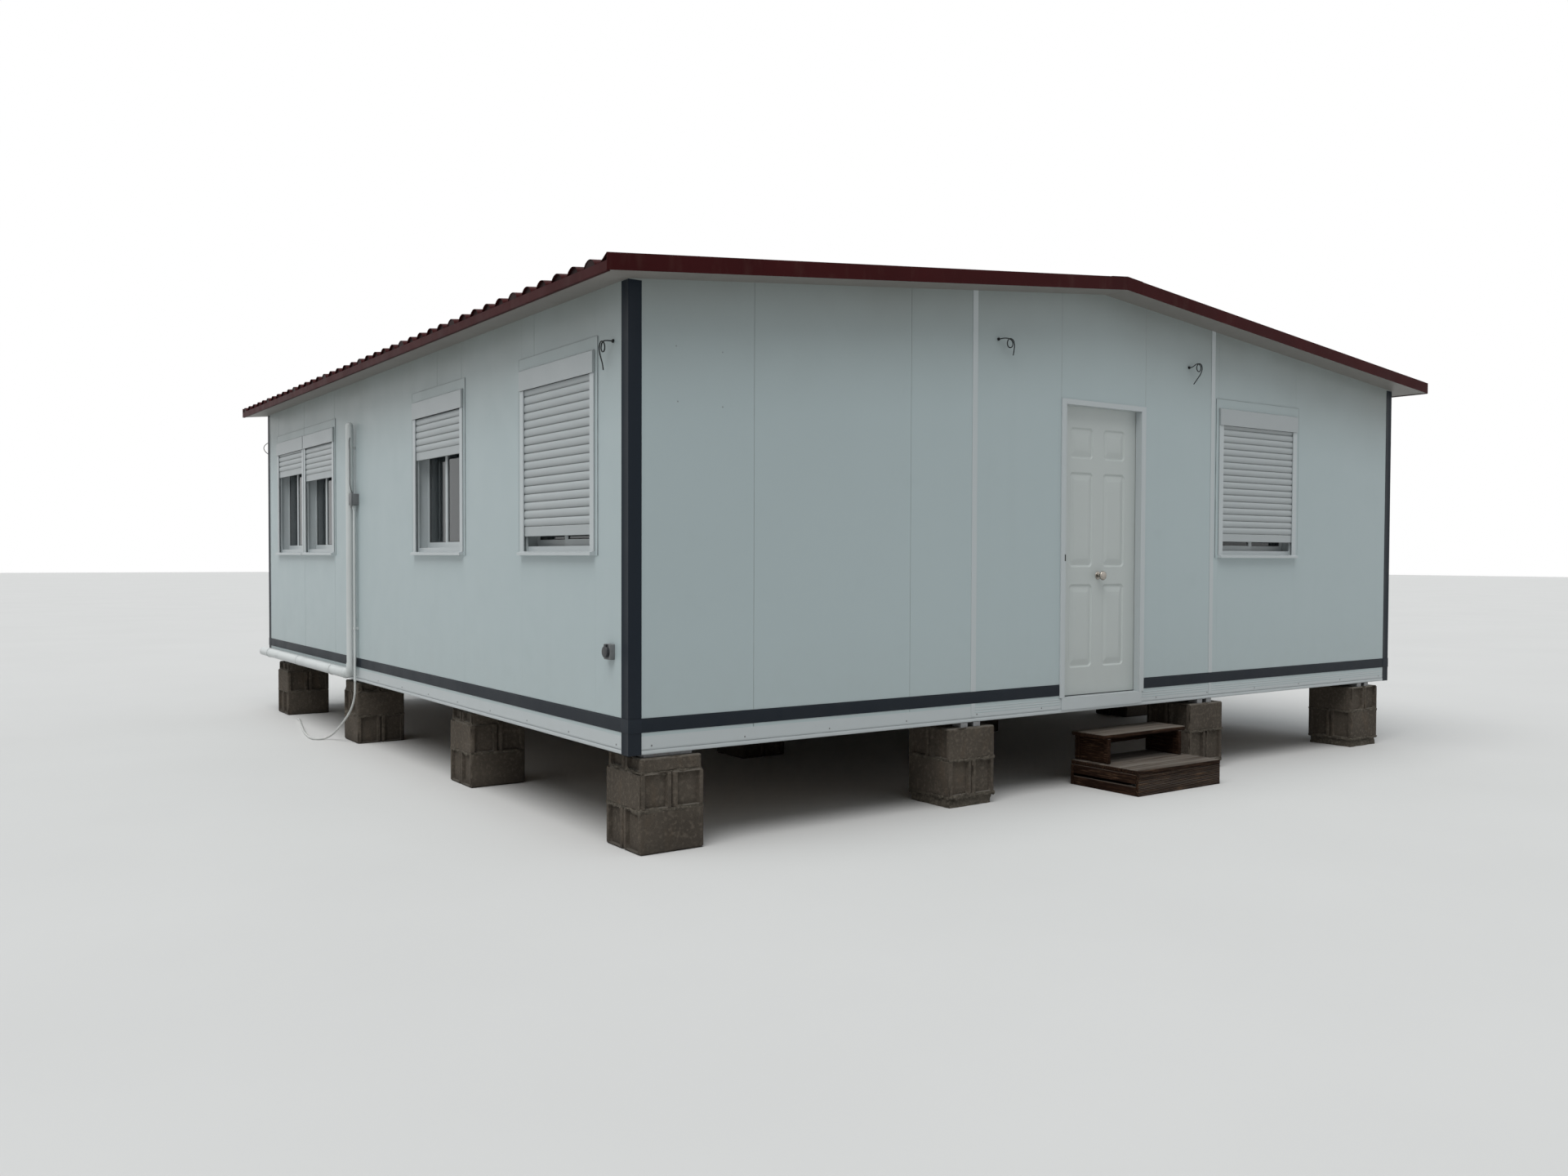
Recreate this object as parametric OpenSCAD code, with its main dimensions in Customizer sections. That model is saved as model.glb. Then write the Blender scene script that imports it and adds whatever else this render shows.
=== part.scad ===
// Portable site cabin: three steel floor modules under one shallow gable roof,
// standing on concrete block piers. The cabin is drawn from its front left
// corner, with x along the front gable, y along the side and z up from the
// underside of the base, and is then set about the middle of its footprint.

/* [Cabin] */
// Width of the front gable, corner to corner
cabin_w = 7500; // [6600:50:9000]
// Length of the side walls, corner to corner
cabin_l = 8000; // [7700:50:9600]
// Distance from the left corner to the two joints between the floor modules
module_joints = [2510, 4985]; // [2400:5:5100]
// Distances from the left corner to the panel joints in the left module's gables
gable_joints = [800, 1970]; // [600:5:2200]
// Distances from the front corner to the panel joints of the side walls
side_joints_front = [1210, 2420, 2900]; // [1000:5:3200]
// Distances from the back corner to the panel joints of the side walls
side_joints_back = [2480, 1455, 460]; // [300:5:2600]
// Height of the underside of the base over the ground
base_z = 540; // [500:10:800]
// Thickness of the wall panels
wall_t = 40; // [30:1:60]
// Width of a joint between two wall panels
joint_gap = 3; // [1:0.5:5]

/* [Base] */
// Height of the base channels, floor included
base_h = 100; // [80:5:115]
// Width of the base channels' lower flange
base_flange = 50; // [45:1:70]
// Thickness of the base steel
base_t = 4; // [3:0.5:6]
// Height of the fold low on the outer face of the base
fold_h = 35; // [20:1:50]
// How far the outer face leans in below the fold
fold_in = 6; // [2:1:10]
// Thickness of the floor boards
deck_t = 20; // [12:1:30]
// Width of a floor joist
joist_w = 60; // [40:5:80]
// Width of the beam under a joint between two modules
module_beam_w = 100; // [60:5:140]

/* [Roof] */
// Slope of the roof, rise over run
roof_slope = 0.1; // [0.06:0.01:0.14]
// Height of the roof's underside at the eaves
eave_z = 2510; // [2450:10:2700]
// Overhang of the roof at the side walls
eave_out = 230; // [120:10:300]
// Overhang of the roof over the front gable
verge_front = 200; // [120:10:300]
// Overhang of the roof over the back gable
verge_back = 100; // [60:10:200]
// Thickness of the roof panels
roof_t = 48; // [40:1:80]
// Thickness of the ribbed roof sheet
sheet_t = 2; // [1:0.5:3]
// Distance from rib to rib
rib_pitch = 200; // [180:10:250]
// Width of a rib at its foot
rib_w = 124; // [80:2:150]
// Height of a rib
rib_h = 38; // [25:1:45]
// Straight faces round a rib
rib_steps = 8; // [6:1:12]
// Half the width of the ridge cap
ridge_half = 160; // [120:10:220]
// Depth of the beams under the roof
roof_beam_h = 120; // [80:10:160]
// Width of the beams under the roof
roof_beam_w = 60; // [40:5:100]

/* [Trims] */
// Thickness of the folded trims
trim_t = 3; // [2:0.5:4]
// Height of the corner trims
corner_h = 2530; // [2480:10:2530]
// Width of a leg of a corner trim
corner_leg = 80; // [60:5:100]
// Height of the lower edge of the dark band
band_z = 120; // [115:1:140]
// Width of the dark band
band_h = 77; // [60:1:100]
// Width of the cover over a module joint
cover_w = 44; // [30:1:60]
// Width of that cover's lower piece, on the base
low_cover_w = 32; // [24:1:44]
// Reach of the verge trims over the roof sheet
verge_leg = 70; // [50:5:90]
// Reach of the eave trims under the roof
eave_lip = 18; // [10:1:30]

/* [Windows] */
// Width of a window over its shutter guides
window_w = 1010; // [900:10:1015]
// Distances from the front corner to the middles of the first two side windows
single_windows = [895, 2890]; // [600:5:3200]
// Distance from the back corner to the middle of the pair of side windows
pair_back = 1455; // [1200:5:1600]
// Width of the flat trim between the two windows of the pair
pair_gap = 20; // [10:1:60]
// Distance from the second module joint to the front window
front_window_in = 75; // [60:5:900]
// Height of the underside of the window sills
sill_z = 1070; // [900:10:1150]
// Thickness of a window sill
sill_t = 25; // [18:1:35]
// How far a window sill stands out
sill_out = 35; // [25:1:60]
// Width of the flat of a sill in front of the shutter guides
sill_flat = 2; // [0:1:6]
// Height of the underside of the shutter boxes
box_z = 2083; // [1950:1:2120]
// Height of a shutter box
box_h = 127; // [115:1:160]
// How far a shutter box stands out
box_out = 20; // [14:1:30]
// Height of the flat trim over a shutter box
head_h = 70; // [50:5:90]
// Width of the flat trim beside a window
side_trim = 34; // [15:1:45]
// Thickness of the flat trim
flat_t = 4; // [2:0.5:6]
// Width of a shutter guide
guide_w = 48; // [38:1:60]
// How far a shutter guide stands out
guide_out = 12; // [8:1:13]
// Width of the window frame's bars
frame_w = 30; // [25:1:40]
// Depth of the window frame from the wall's face
frame_in = 112; // [108:1:130]
// Width of a sash bar
sash_w = 40; // [30:1:55]
// Thickness of a sash bar
sash_t = 22; // [18:1:24]
// Gap between the two sashes, two thirds of it again behind them
sash_gap = 3; // [2:0.5:4]
// Thickness of the glass
glass_t = 6; // [4:1:10]

/* [Shutters] */
// Distance from slat to slat
slat_pitch = 50; // [40:1:60]
// How far a slat's face bulges
slat_bulge = 8; // [5:0.5:9]
// Thickness of a slat
slat_t = 7; // [6:0.5:8]
// Height of the tongue on a slat
tongue_h = 6; // [4:0.5:8]
// Thickness of the tongue on a slat
tongue_t = 2; // [1:0.5:2]
// Clearance of the tongue in the next slat
tongue_clear = 1; // [0.5:0.5:1]
// Straight faces across a slat
slat_steps = 8; // [6:1:12]
// Height of the bottom rail
rail_h = 60; // [45:5:80]
// How far the bottom rail's face lies behind the bulge of the slats
rail_in = 2; // [0:0.5:4]
// Heights of the lower edges of the side shutters
side_shutters = [1186, 1774, 1770, 1855]; // [1100:1:1950]
// Height of the lower edge of the front shutter
front_shutter_z = 1195; // [1100:1:1950]
// Thickness of the guide behind the slats
guide_lip = 10; // [5:1:14]
// Running clearance of a slat in its guides
slat_clear = 0.8; // [0.5:0.1:2]

/* [Door] */
// Distance from the left corner to the door frame
door_x = 3320; // [3150:5:3500]
// Width of the door frame
door_w = 880; // [800:5:1000]
// Height of the top of the door frame
door_top = 2155; // [2050:5:2250]
// Thickness of the door lining
lining_t = 35; // [25:1:45]
// How far the door lining stands out
lining_out = 8; // [4:1:12]
// Thickness of the door stop
stop_t = 12; // [8:1:16]
// Depth of the door stop from the wall's face
stop_in = 45; // [30:1:60]
// Thickness of the door leaf
leaf_t = 40; // [35:1:50]
// Clearance round the door leaf
leaf_clear = 5; // [5:0.5:8]
// Clearance on the lock side and over the floor
lock_clear = 7; // [6:0.5:10]
// Depth of the grooves round the door panels
panel_d = 8; // [4:1:12]
// Width of the slope round a door panel
panel_slope = 22; // [14:1:26]
// Width of the flat groove round a door panel
panel_groove = 8; // [4:1:14]
// Height of the middle of the knob
knob_z = 942; // [850:1:1000]
// Diameter of the knob
knob_d = 66; // [50:1:80]
// How far the knob stands out
knob_out = 60; // [45:1:75]
// Length of the knob's rounded end
knob_round = 30; // [20:1:35]
// Thickness of the plate behind the knob
rose_t = 10; // [5:1:12]
// Height of the threshold plate's lower edge
threshold_z = 20; // [5:1:30]
// How far the threshold plate's ends lie in from the door frame's
threshold_in = 20; // [0:5:60]
// Diameter of a hinge knuckle
knuckle_d = 13; // [11:0.5:14]
// Height of one hinge knuckle
knuckle_h = 45; // [30:5:60]
// Diameter of a hinge pin
pin_d = 6; // [5:0.5:8]
// Running clearance of a hinge pin
pin_clear = 0.3; // [0.2:0.05:0.5]
// Distance from the door leaf's inner face to the hinge axis
hinge_in = 8; // [7.5:0.5:12]
// Heights of the middles of the hinges
hinge_z = [330, 1110, 1900]; // [250:10:2000]
// Length of a hinge plate
hinge_plate_w = 28; // [20:1:32]
// Thickness of a hinge plate
hinge_plate_t = 3; // [2:0.5:4]

/* [Piers] */
// Width of a pier
pier_w = 400; // [360:5:440]
// Distances from the left wall to the faces of the left piers, front to back
left_piers_in = [60, 40, 0, -10]; // [-20:5:80]
// Distances from the left corner to the middles of the next two rows of piers
pier_rows_x = [2490, 4920]; // [2400:10:5100]
// Distance from the right corner to the middle of the last row
pier_right = 390; // [220:5:450]
// Distances from the front to the middles of the first three cross rows of piers
pier_rows_y = [180, 2570, 5065]; // [170:5:5300]
// Distance from the back to the middle of the last cross row
pier_back = 605; // [200:5:700]
// Height of the lower blocks
lower_h = 235; // [190:5:260]
// Height of the upper blocks
upper_h = 205; // [180:5:225]
// Gap between two blocks of a course
block_gap = 4; // [2:1:8]
// Width of the rim round the hollow in a block's end
block_rim = 32; // [20:1:45]
// Depth of the hollow in a block's end
block_hollow = 22; // [10:1:40]
// Width of a pier's top course
cap_w = 380; // [320:5:400]
// Thickness of a bearing plate
plate_t = 20; // [10:1:30]
// Width of a bearing plate
plate_w = 300; // [200:10:340]
// Width, depth and height of the packers on the low front piers
packer = [60, 80, 30]; // [20:5:90]
// Distances from a low pier's middle to the middles of its packers
packer_in = [55, 140]; // [50:5:150]

/* [Steps] */
// Distance from the left corner to the steps
step_x = 3620; // [3560:5:3760]
// Width of the steps
step_w = 890; // [860:5:940]
// How far the steps reach in front of the cabin
step_out = 440; // [380:5:500]
// Depth of a tread
tread_d = 300; // [260:5:310]
// Thickness of a tread
tread_t = 30; // [22:1:40]
// Height of the lower tread's top over the ground
step_1 = 175; // [150:1:200]
// Height of the upper tread's top over the ground
step_2 = 380; // [330:1:420]
// Thickness of the steps' boards
board_t = 25; // [18:1:30]
// Slot between the boards on the sides of the lower step
board_slot = 18; // [10:1:30]
// Gap between the two boards of a tread
tread_gap = 6; // [3:1:12]
// How far the upper step's sides stand in from the tread's ends
side_in = 50; // [20:5:60]
// Width of the posts at the corners of the upper step
post_w = 40; // [30:5:60]
// How far these posts stand out from the sides
post_out = 8; // [3:1:15]

/* [Pipes and boxes] */
// Diameter of the vent pipe
vent_d = 63; // [50:1:75]
// Wall of the pipes
pipe_wall = 3; // [2:0.5:5]
// Distance from the back corner to the vent pipe
vent_back = 3090; // [3060:5:3110]
// Distance from the wall to the middle of the vent pipe
vent_out = 45; // [40:1:60]
// Height of the top of the vent pipe
vent_top = 2165; // [2000:5:2300]
// Height of the rounded end on the vent pipe
cap_rise = 30; // [20:1:40]
// Diameter of the drain pipe
drain_d = 90; // [75:1:100]
// Distance from the wall to the middle of the drain pipe
drain_out = 54; // [52:1:65]
// Height of the middle of the drain pipe
drain_z = 60; // [50:1:66]
// How far the drain pipe runs past the back corner
drain_end = 10; // [0:5:60]
// Bend radius of the pipe elbow
elbow_r = 62; // [60:1:80]
// Length of the sockets on the elbow
socket_l = 30; // [20:1:40]
// How far a socket stands over the vent pipe
socket_t = 4; // [3:1:6]
// Width of a pipe clip
clip_w = 20; // [12:1:30]
// Thickness of a pipe clip
clip_t = 3; // [2:0.5:4]
// Heights of the supports behind the vent pipe
vent_supports = [520, 1250, 1980]; // [400:10:2100]
// Height of the clip on the conduit
conduit_clip = 450; // [300:10:1300]
// Distance from the vent pipe to the first clip of the drain pipe
drain_clip_in = 500; // [200:10:700]
// Distance from the back corner to the last clip of the drain pipe
drain_clip_back = 300; // [100:10:500]
// Height of the underside of the junction box
junction_z = 1490; // [1300:5:1600]
// Width, depth and height of the junction box
junction = [72, 65, 100]; // [50:1:120]
// Depth of the step round the edge of the junction box's lid
lid_step = 6; // [3:1:10]
// Distance from the vent pipe to the junction box in front of it
junction_in = 110; // [108:1:200]
// Diameter of the conduit
conduit_d = 22; // [20:1:25]
// Distance from the wall to the middle of the conduit
conduit_out = 30; // [16:1:34]
// Width, depth and height of the outlet box by the corner
outlet = [75, 30, 85]; // [25:1:100]
// Distance from the front corner to the outlet box
outlet_y = 155; // [90:5:250]
// Height of the underside of the outlet box
outlet_z = 505; // [400:5:700]
// How far the outlet's hood stands out from its box
hood_out = 17; // [10:1:25]
// Diameter of the outlet's hood
hood_d = 65; // [50:1:75]
// Diameter of a cable gland
gland_d = 20; // [14:1:26]
// Height of a cable gland
gland_h = 8; // [4:1:14]
// Diameter of the loose cable tails
cable_d = 7; // [5:0.5:8]
// Diameter of the loose hose
hose_d = 19; // [15:1:20]

/* [Hidden] */
$fn = 48;

// Gap between pieces that rest against each other
seat = 0.3;
// Gap between two panels where no joint shows
seam = 0.6;
// Reach of a cut past the face that it opens
past = 1;
// Middle of the footprint, steps included, from the front wall's face
mid_y = (cabin_l + verge_back - step_out) / 2;
// Height of the base over which the wall panels stand
wall_z = base_h;
ridge_x = cabin_w / 2;
roof_angle = atan(roof_slope);
// Height of the rib tops over the underside of the roof
crest_h = roof_t + (seat + sheet_t + rib_h) / cos(roof_angle);
window_top = box_z + box_h;
// The slats' slot, out and in from the wall's face, and the guide behind it
slot_out = slat_bulge / 2 + slat_clear;
slot_in = slat_bulge / 2 + slat_t + slat_clear;
slot_top = box_z + slat_pitch + tongue_h + slat_clear;
guide_in = slot_in + guide_lip;
clear_x = door_x + lining_t;
clear_w = door_w - 2 * lining_t;
clear_top = door_top - lining_t + stop_t;
leaf_x = clear_x + lock_clear;
leaf_w = clear_w - lock_clear - leaf_clear;
leaf_z = base_h + trim_t + lock_clear;
leaf_h = clear_top - leaf_clear - leaf_z;
leaf_front = stop_in + leaf_clear;
leaf_back = leaf_front + leaf_t;
// The hinge axis, in the middle of the gap beside the leaf and inside it
hinge_x = leaf_x + leaf_w + leaf_clear / 2;
hinge_y = leaf_back + hinge_in;
cap_h = base_z - plate_t - lower_h - upper_h;
// Height of the bed under the blocks of the low front piers
bed_h = base_z - packer.z - lower_h - upper_h;
// Piers whose courses lie the other way, by row from the left and place in the row
turned_piers = [[0, 2], [1, 0], [1, 1], [2, 0], [3, 3]];
steps_y = -step_out;
pier_x = concat(pier_rows_x, [cabin_w - pier_right]);
pier_y = concat(pier_rows_y, [cabin_l - pier_back]);
front_window = module_joints[1] + front_window_in + window_w / 2;
pair_half = (window_w + pair_gap) / 2;
side_windows = concat(
    single_windows, [cabin_l - pair_back - pair_half, cabin_l - pair_back + pair_half]
);
front_joints = concat(gable_joints, module_joints);
side_joints = concat(side_joints_front, [for (y = side_joints_back) cabin_l - y]);
vent_y = cabin_l - vent_back;
junction_y = vent_y - junction_in;
conduit_y = junction_y + junction.x / 2;

// Colours
white = [0.88, 0.88, 0.86];
anthracite = [0.24, 0.26, 0.28];
roof_red = [0.42, 0.20, 0.18];
door_white = [0.84, 0.85, 0.85];
concrete = [0.55, 0.53, 0.50];
timber = [0.30, 0.22, 0.17];
steel = [0.62, 0.63, 0.64];
box_grey = [0.55, 0.56, 0.57];

// Loose cable tails and the hose, point by point in the cabin's own frame, with the
// back tail's y from the back wall's face and the hose's y from the conduit
tail_left = [
    [-8, 172, 2226], [-22, 172, 2226], [-36, 181, 2227], [-43, 205, 2226],
    [-43, 228, 2214], [-44, 232, 2190], [-45, 216, 2171], [-47, 192, 2172],
    [-50, 177, 2192], [-53, 186, 2216], [-54, 210, 2225], [-53, 234, 2207],
    [-50, 240, 2176], [-45, 234, 2142], [-39, 227, 2108], [-35, 224, 2074]
];
tail_front_1 = [
    [2715, -8, 2492], [2715, -22, 2492], [2723, -36, 2494], [2748, -44, 2496],
    [2776, -43, 2494], [2799, -44, 2481], [2802, -45, 2454], [2782, -46, 2438],
    [2756, -48, 2445], [2748, -51, 2471], [2763, -54, 2492], [2790, -55, 2490],
    [2808, -54, 2463], [2812, -48, 2426], [2810, -42, 2390]
];
tail_front_2 = [
    [4690, -8, 2484], [4690, -21, 2484], [4696, -35, 2490], [4718, -45, 2507],
    [4748, -43, 2512], [4770, -44, 2497], [4771, -45, 2471], [4750, -46, 2455],
    [4725, -48, 2464], [4718, -51, 2490], [4734, -54, 2510], [4760, -55, 2508],
    [4776, -54, 2481], [4766, -51, 2444], [4732, -46, 2400], [4696, -41, 2358]
];
tail_back = [
    [40, 11, 2262], [40, 28, 2262], [28, 44, 2260], [3, 55, 2247], [-20, 59, 2226],
    [-31, 60, 2197], [-20, 58, 2166], [0, 56, 2145], [22, 53, 2130]
];
hose_route = [
    [-30, 0, 0], [-30, 0, -55], [-31, 5, -108], [-34, 18, -158], [-39, 41, -206],
    [-46, 75, -252], [-54, 120, -296], [-63, 172, -338], [-73, 226, -378],
    [-84, 283, -418], [-97, 339, -456], [-113, 388, -488], [-137, 425, -513],
    [-172, 442, -528], [-208, 450, -530], [-238, 474, -530], [-253, 520, -530],
    [-253, 590, -530], [-244, 690, -530], [-229, 812, -530], [-208, 942, -530],
    [-184, 1076, -530], [-157, 1214, -530], [-129, 1352, -530], [-101, 1490, -530],
    [-73, 1626, -530], [-46, 1760, -530], [-22, 1872, -530], [-14, 1954, -530]
];
// Underside of the roof at a distance x from the left corner
function roof_under(x) = eave_z + roof_slope * (min(x, cabin_w - x) + eave_out);

function is_in(v, list) = len([for (c = list) if (c == v) c]) > 0;

function sorted(v) = len(v) <= 1 ? v : let (
    p = v[0],
    below = [for (c = v) if (c < p) c],
    above = [for (c = v) if (c > p) c]
) concat(sorted(below), [p], sorted(above));

function pier_middle(i, j) =
    [i == 0 ? left_piers_in[j] + pier_w / 2 : pier_x[i - 1], pier_y[j], -base_z];
function pier_turn(i, j) = len([for (t = turned_piers) if (t.x == i && t.y == j) t]) * 90;

function unit(v) = v / norm(v);
function tangent(p, i) = unit(p[min(i + 1, len(p) - 1)] - p[max(i - 1, 0)]);
function square_to(v, t) = unit(v - (v * t) * t);
function across(t) = abs(t.z) < 0.9 ? [0, 0, 1] : [1, 0, 0];
function normals(p, i = 0, last = [0, 0, 1]) = let (
    t = tangent(p, i),
    n = square_to(i == 0 ? across(t) : last, t)
) i == len(p) - 1 ? [n] : concat([n], normals(p, i + 1, n));

// Sets the cabin about the middle of its footprint, with the ground at z = 0
module cabin() translate([-ridge_x, -mid_y, base_z]) children();

// A wall's own frame has x along it, y inwards from its outer face and z up
module left_side() mirror([1, -1, 0]) children();
module right_side() translate([cabin_w, 0, 0]) mirror([1, 0, 0]) left_side() children();
module back_side() translate([0, cabin_l, 0]) mirror([0, 1, 0]) children();

module block(low, high) translate(low) cube(high - low);

// A profile drawn in y and z, pushed along x from a to b
module along_x(a, b) translate([a, 0, 0]) rotate([90, 0, 90]) linear_extrude(b - a) children();

// A profile drawn in x and z, pushed along y from a to b
module along_y(a, b) translate([0, b, 0]) rotate([90, 0, 0]) linear_extrude(b - a) children();

module tube(p, d, sides = 8) {
    n = normals(p);
    last = len(p) - 1;
    points = [
        for (i = [0:last]) let (t = tangent(p, i), s = cross(t, n[i]))
            for (k = [0:sides - 1]) let (a = 360 * k / sides)
                p[i] + d / 2 * (cos(a) * n[i] + sin(a) * s)
    ];
    walls = [
        for (i = [0:last - 1], k = [0:sides - 1]) let (
            a = i * sides + k,
            b = i * sides + (k + 1) % sides
        ) each [[a, a + sides, b + sides], [a, b + sides, b]]
    ];
    start = [for (k = [0:sides - 1]) k];
    end = [for (k = [sides - 1:-1:0]) last * sides + k];
    polyhedron(points, concat([start], walls, [end]));
}

// Cells of a wall from a to b: each is [from, to, bottom, top], and a top of 0
// stands for the underside of the roof. An opening is [from, to, bottom, top].
function edges(openings) = [for (o = openings) each [o[0], o[1]]];
function opening_at(x, openings) = [for (o = openings) if (x > o[0] && x < o[1]) o];
function inset(c, a, b, joints) =
    c == a || c == b ? 0 : is_in(c, joints) ? joint_gap / 2 : seam / 2;
function upper_cells(a, b, joints, openings) = let (
    inner = [for (c = concat(joints, edges(openings))) if (c > a && c < b) c],
    cuts = concat([a], sorted(inner), [b])
) [
    for (i = [0:len(cuts) - 2]) let (
        c = cuts[i],
        d = cuts[i + 1],
        hit = opening_at((c + d) / 2, openings)
    ) [
        c + inset(c, a, b, joints), d - inset(d, a, b, joints),
        len(hit) > 0 ? hit[0][3] : wall_z, 0
    ]
];
function lower_cells(openings) = [
    for (o = openings) if (o[2] > wall_z) [o[0] + seam / 2, o[1] - seam / 2, wall_z, o[2]]
];
function cells(a, b, joints, openings) =
    concat(upper_cells(a, b, joints, openings), lower_cells(openings));

// A cell of a gable wall, cut to the slope of the roof
module gable_cell(c) along_y(0, wall_t)
    if (c[3] > 0)
        polygon([[c[0], c[2]], [c[1], c[2]], [c[1], c[3]], [c[0], c[3]]]);
    else
        polygon(concat(
            [[c[0], c[2]], [c[1], c[2]], [c[1], roof_under(c[1])]],
            c[0] < ridge_x && c[1] > ridge_x ? [[ridge_x, roof_under(ridge_x)]] : [],
            [[c[0], roof_under(c[0])]]
        ));

// A cell of a side wall, its top cut to the slope of the roof
module side_cell(c) along_x(c[0], c[1])
    if (c[3] > 0)
        polygon([[0, c[2]], [wall_t, c[2]], [wall_t, c[3]], [0, c[3]]]);
    else
        polygon([[0, c[2]], [wall_t, c[2]], [wall_t, roof_under(wall_t)], [0, roof_under(0)]]);

function window_opening(x) = [x - window_w / 2, x + window_w / 2, sill_z, window_top];
side_openings = [for (x = side_windows) window_opening(x)];

module front_cells(a, b, openings)
    for (c = cells(a, b, front_joints, openings)) gable_cell(c);

module base_channels() color(white) cabin() {
    channel = [
        [0, base_h], [0, fold_h], [fold_in, 0], [base_flange, 0], [base_flange, base_t],
        [fold_in + base_t, base_t], [base_t, fold_h], [base_t, base_h - base_t],
        [wall_t, base_h - base_t], [wall_t, base_h]
    ];
    along_x(0, cabin_w) polygon(channel);
    back_side() along_x(0, cabin_w) polygon(channel);
    ends = base_flange + seat;
    left_side() along_x(ends, cabin_l - ends) polygon(channel);
    right_side() along_x(ends, cabin_l - ends) polygon(channel);
}

beam_top = base_h - deck_t;
beam_end = base_flange + 2 * seat;

module module_beams() color(steel) cabin()
    for (x = module_joints) block(
        [x - module_beam_w / 2, beam_end, 0],
        [x + module_beam_w / 2, cabin_l - beam_end, beam_top]
    );

module floor_joists() color(steel) cabin() {
    rows = [for (i = [1:len(pier_y) - 1]) each [(pier_y[i - 1] + pier_y[i]) / 2, pier_y[i]]];
    left = concat([beam_end], [for (x = module_joints) x + module_beam_w / 2 + seat]);
    right = concat([for (x = module_joints) x - module_beam_w / 2 - seat], [cabin_w - beam_end]);
    for (y = rows, i = [0:len(left) - 1])
        block([left[i], y - joist_w / 2, 0], [right[i], y + joist_w / 2, beam_top]);
}

module floor_deck() color("burlywood") cabin() {
    low = wall_t + seat;
    left = concat([low], [for (x = module_joints) x + seam]);
    right = concat([for (x = module_joints) x - seam], [cabin_w - low]);
    for (i = [0:len(left) - 1])
        block([left[i], low, beam_top], [right[i], cabin_l - low, base_h]);
}

module front_wall_left() color(white) cabin()
    front_cells(0, door_x - seat, []);

module front_wall_over_door() color(white) cabin()
    gable_cell([door_x, door_x + door_w, door_top + seat, 0]);

module front_wall_right() color(white) cabin()
    front_cells(door_x + door_w + seat, cabin_w, [window_opening(front_window)]);

module side_wall()
    for (c = cells(wall_t + seat, cabin_l - wall_t - seat, side_joints, side_openings))
        side_cell(c);

module left_wall() color(white) cabin() left_side() side_wall();

module right_wall() color(white) cabin() right_side() side_wall();

module back_wall() color(white) cabin() back_side()
    for (c = cells(0, cabin_w, front_joints, [])) gable_cell(c);

module cover(x) along_y(-trim_t, -seat) polygon([
    [x - cover_w / 2, band_z + band_h + seat], [x + cover_w / 2, band_z + band_h + seat],
    [x + cover_w / 2, roof_under(x + cover_w / 2) - seat],
    [x - cover_w / 2, roof_under(x - cover_w / 2) - seat]
]);

module low_cover(x) block(
    [x - low_cover_w / 2, -trim_t, fold_h + seat], [x + low_cover_w / 2, -seat, band_z - seat]
);

// Flat strips over the module joints of the gables, above and below the dark band
module joint_covers() color(white) cabin() for (x = module_joints) {
    cover(x);
    low_cover(x);
    back_side() {
        cover(x);
        low_cover(x);
    }
}

module corner_angle() let (leg = corner_leg - trim_t) linear_extrude(corner_h) polygon([
    [-trim_t, -trim_t], [leg, -trim_t], [leg, -seat], [-seat, -seat],
    [-seat, leg], [-trim_t, leg]
]);

module corner_trims() color(anthracite) cabin() for (x = [0, 1], y = [0, 1])
    translate([x * cabin_w, y * cabin_l, 0])
        mirror([x, 0, 0]) mirror([0, y, 0]) corner_angle();

module band(a, b) block([a, -trim_t, band_z], [b, -seat, band_z + band_h]);

module plinth_bands() color(anthracite) cabin() {
    corner = corner_leg - trim_t + seat;
    band(corner, door_x - seat);
    band(door_x + door_w + seat, cabin_w - corner);
    back_side() band(corner, cabin_w - corner);
    left_side() band(corner, cabin_l - corner);
    right_side() band(corner, cabin_l - corner);
}

// Beams along the cabin under the roof, one at each module joint and the ridge
module roof_beams() color(white) cabin()
    for (x = concat(module_joints, [ridge_x])) let (
        a = x - roof_beam_w / 2,
        b = x + roof_beam_w / 2,
        low = min(roof_under(a), roof_under(b)) - roof_beam_h
    ) along_y(wall_t + seat, cabin_l - wall_t - seat) polygon(concat(
        [[a, low], [b, low], [b, roof_under(b) - seat]],
        x == ridge_x ? [[x, roof_under(x) - seat]] : [],
        [[a, roof_under(a) - seat]]
    ));

roof_from = -verge_front;
roof_to = cabin_l + verge_back;
sheet_from = roof_from + trim_t + seat;
sheet_to = roof_to - trim_t - seat;
first_rib = ceil((sheet_from + rib_w / 2) / rib_pitch);
last_rib = floor((sheet_to - rib_w / 2) / rib_pitch);

// Draws its children on the left slope and mirrored on the right slope
module both_slopes() {
    children();
    translate([cabin_w, 0, 0]) mirror([1, 0, 0]) children();
}

module roof_panels() color(white) cabin() both_slopes() {
    low = -eave_out + trim_t + seat;
    high = ridge_x - seam;
    along_y(sheet_from, sheet_to) polygon([
        [low, roof_under(low)], [high, roof_under(high)],
        [high, roof_under(high) + roof_t], [low, roof_under(low) + roof_t]
    ]);
}

// One edge of the ribbed sheet in section: round ribs with flats between them
function rib_line(rise) = concat(
    [[sheet_from, rise]],
    [for (i = [first_rib:last_rib], k = [0:rib_steps]) let (
        a = 180 * k / rib_steps,
        half = rib_w / 2 - sheet_t + rise
    ) [i * rib_pitch - half * cos(a), rise + rib_h * sin(a)]],
    [[sheet_to, rise]]
);

// The left slope's own frame, with x up the slope and z = 0 under the ribbed sheet
module on_slope() translate([-eave_out, 0, eave_z + roof_t + seat])
    rotate([0, -roof_angle, 0]) children();

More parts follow.
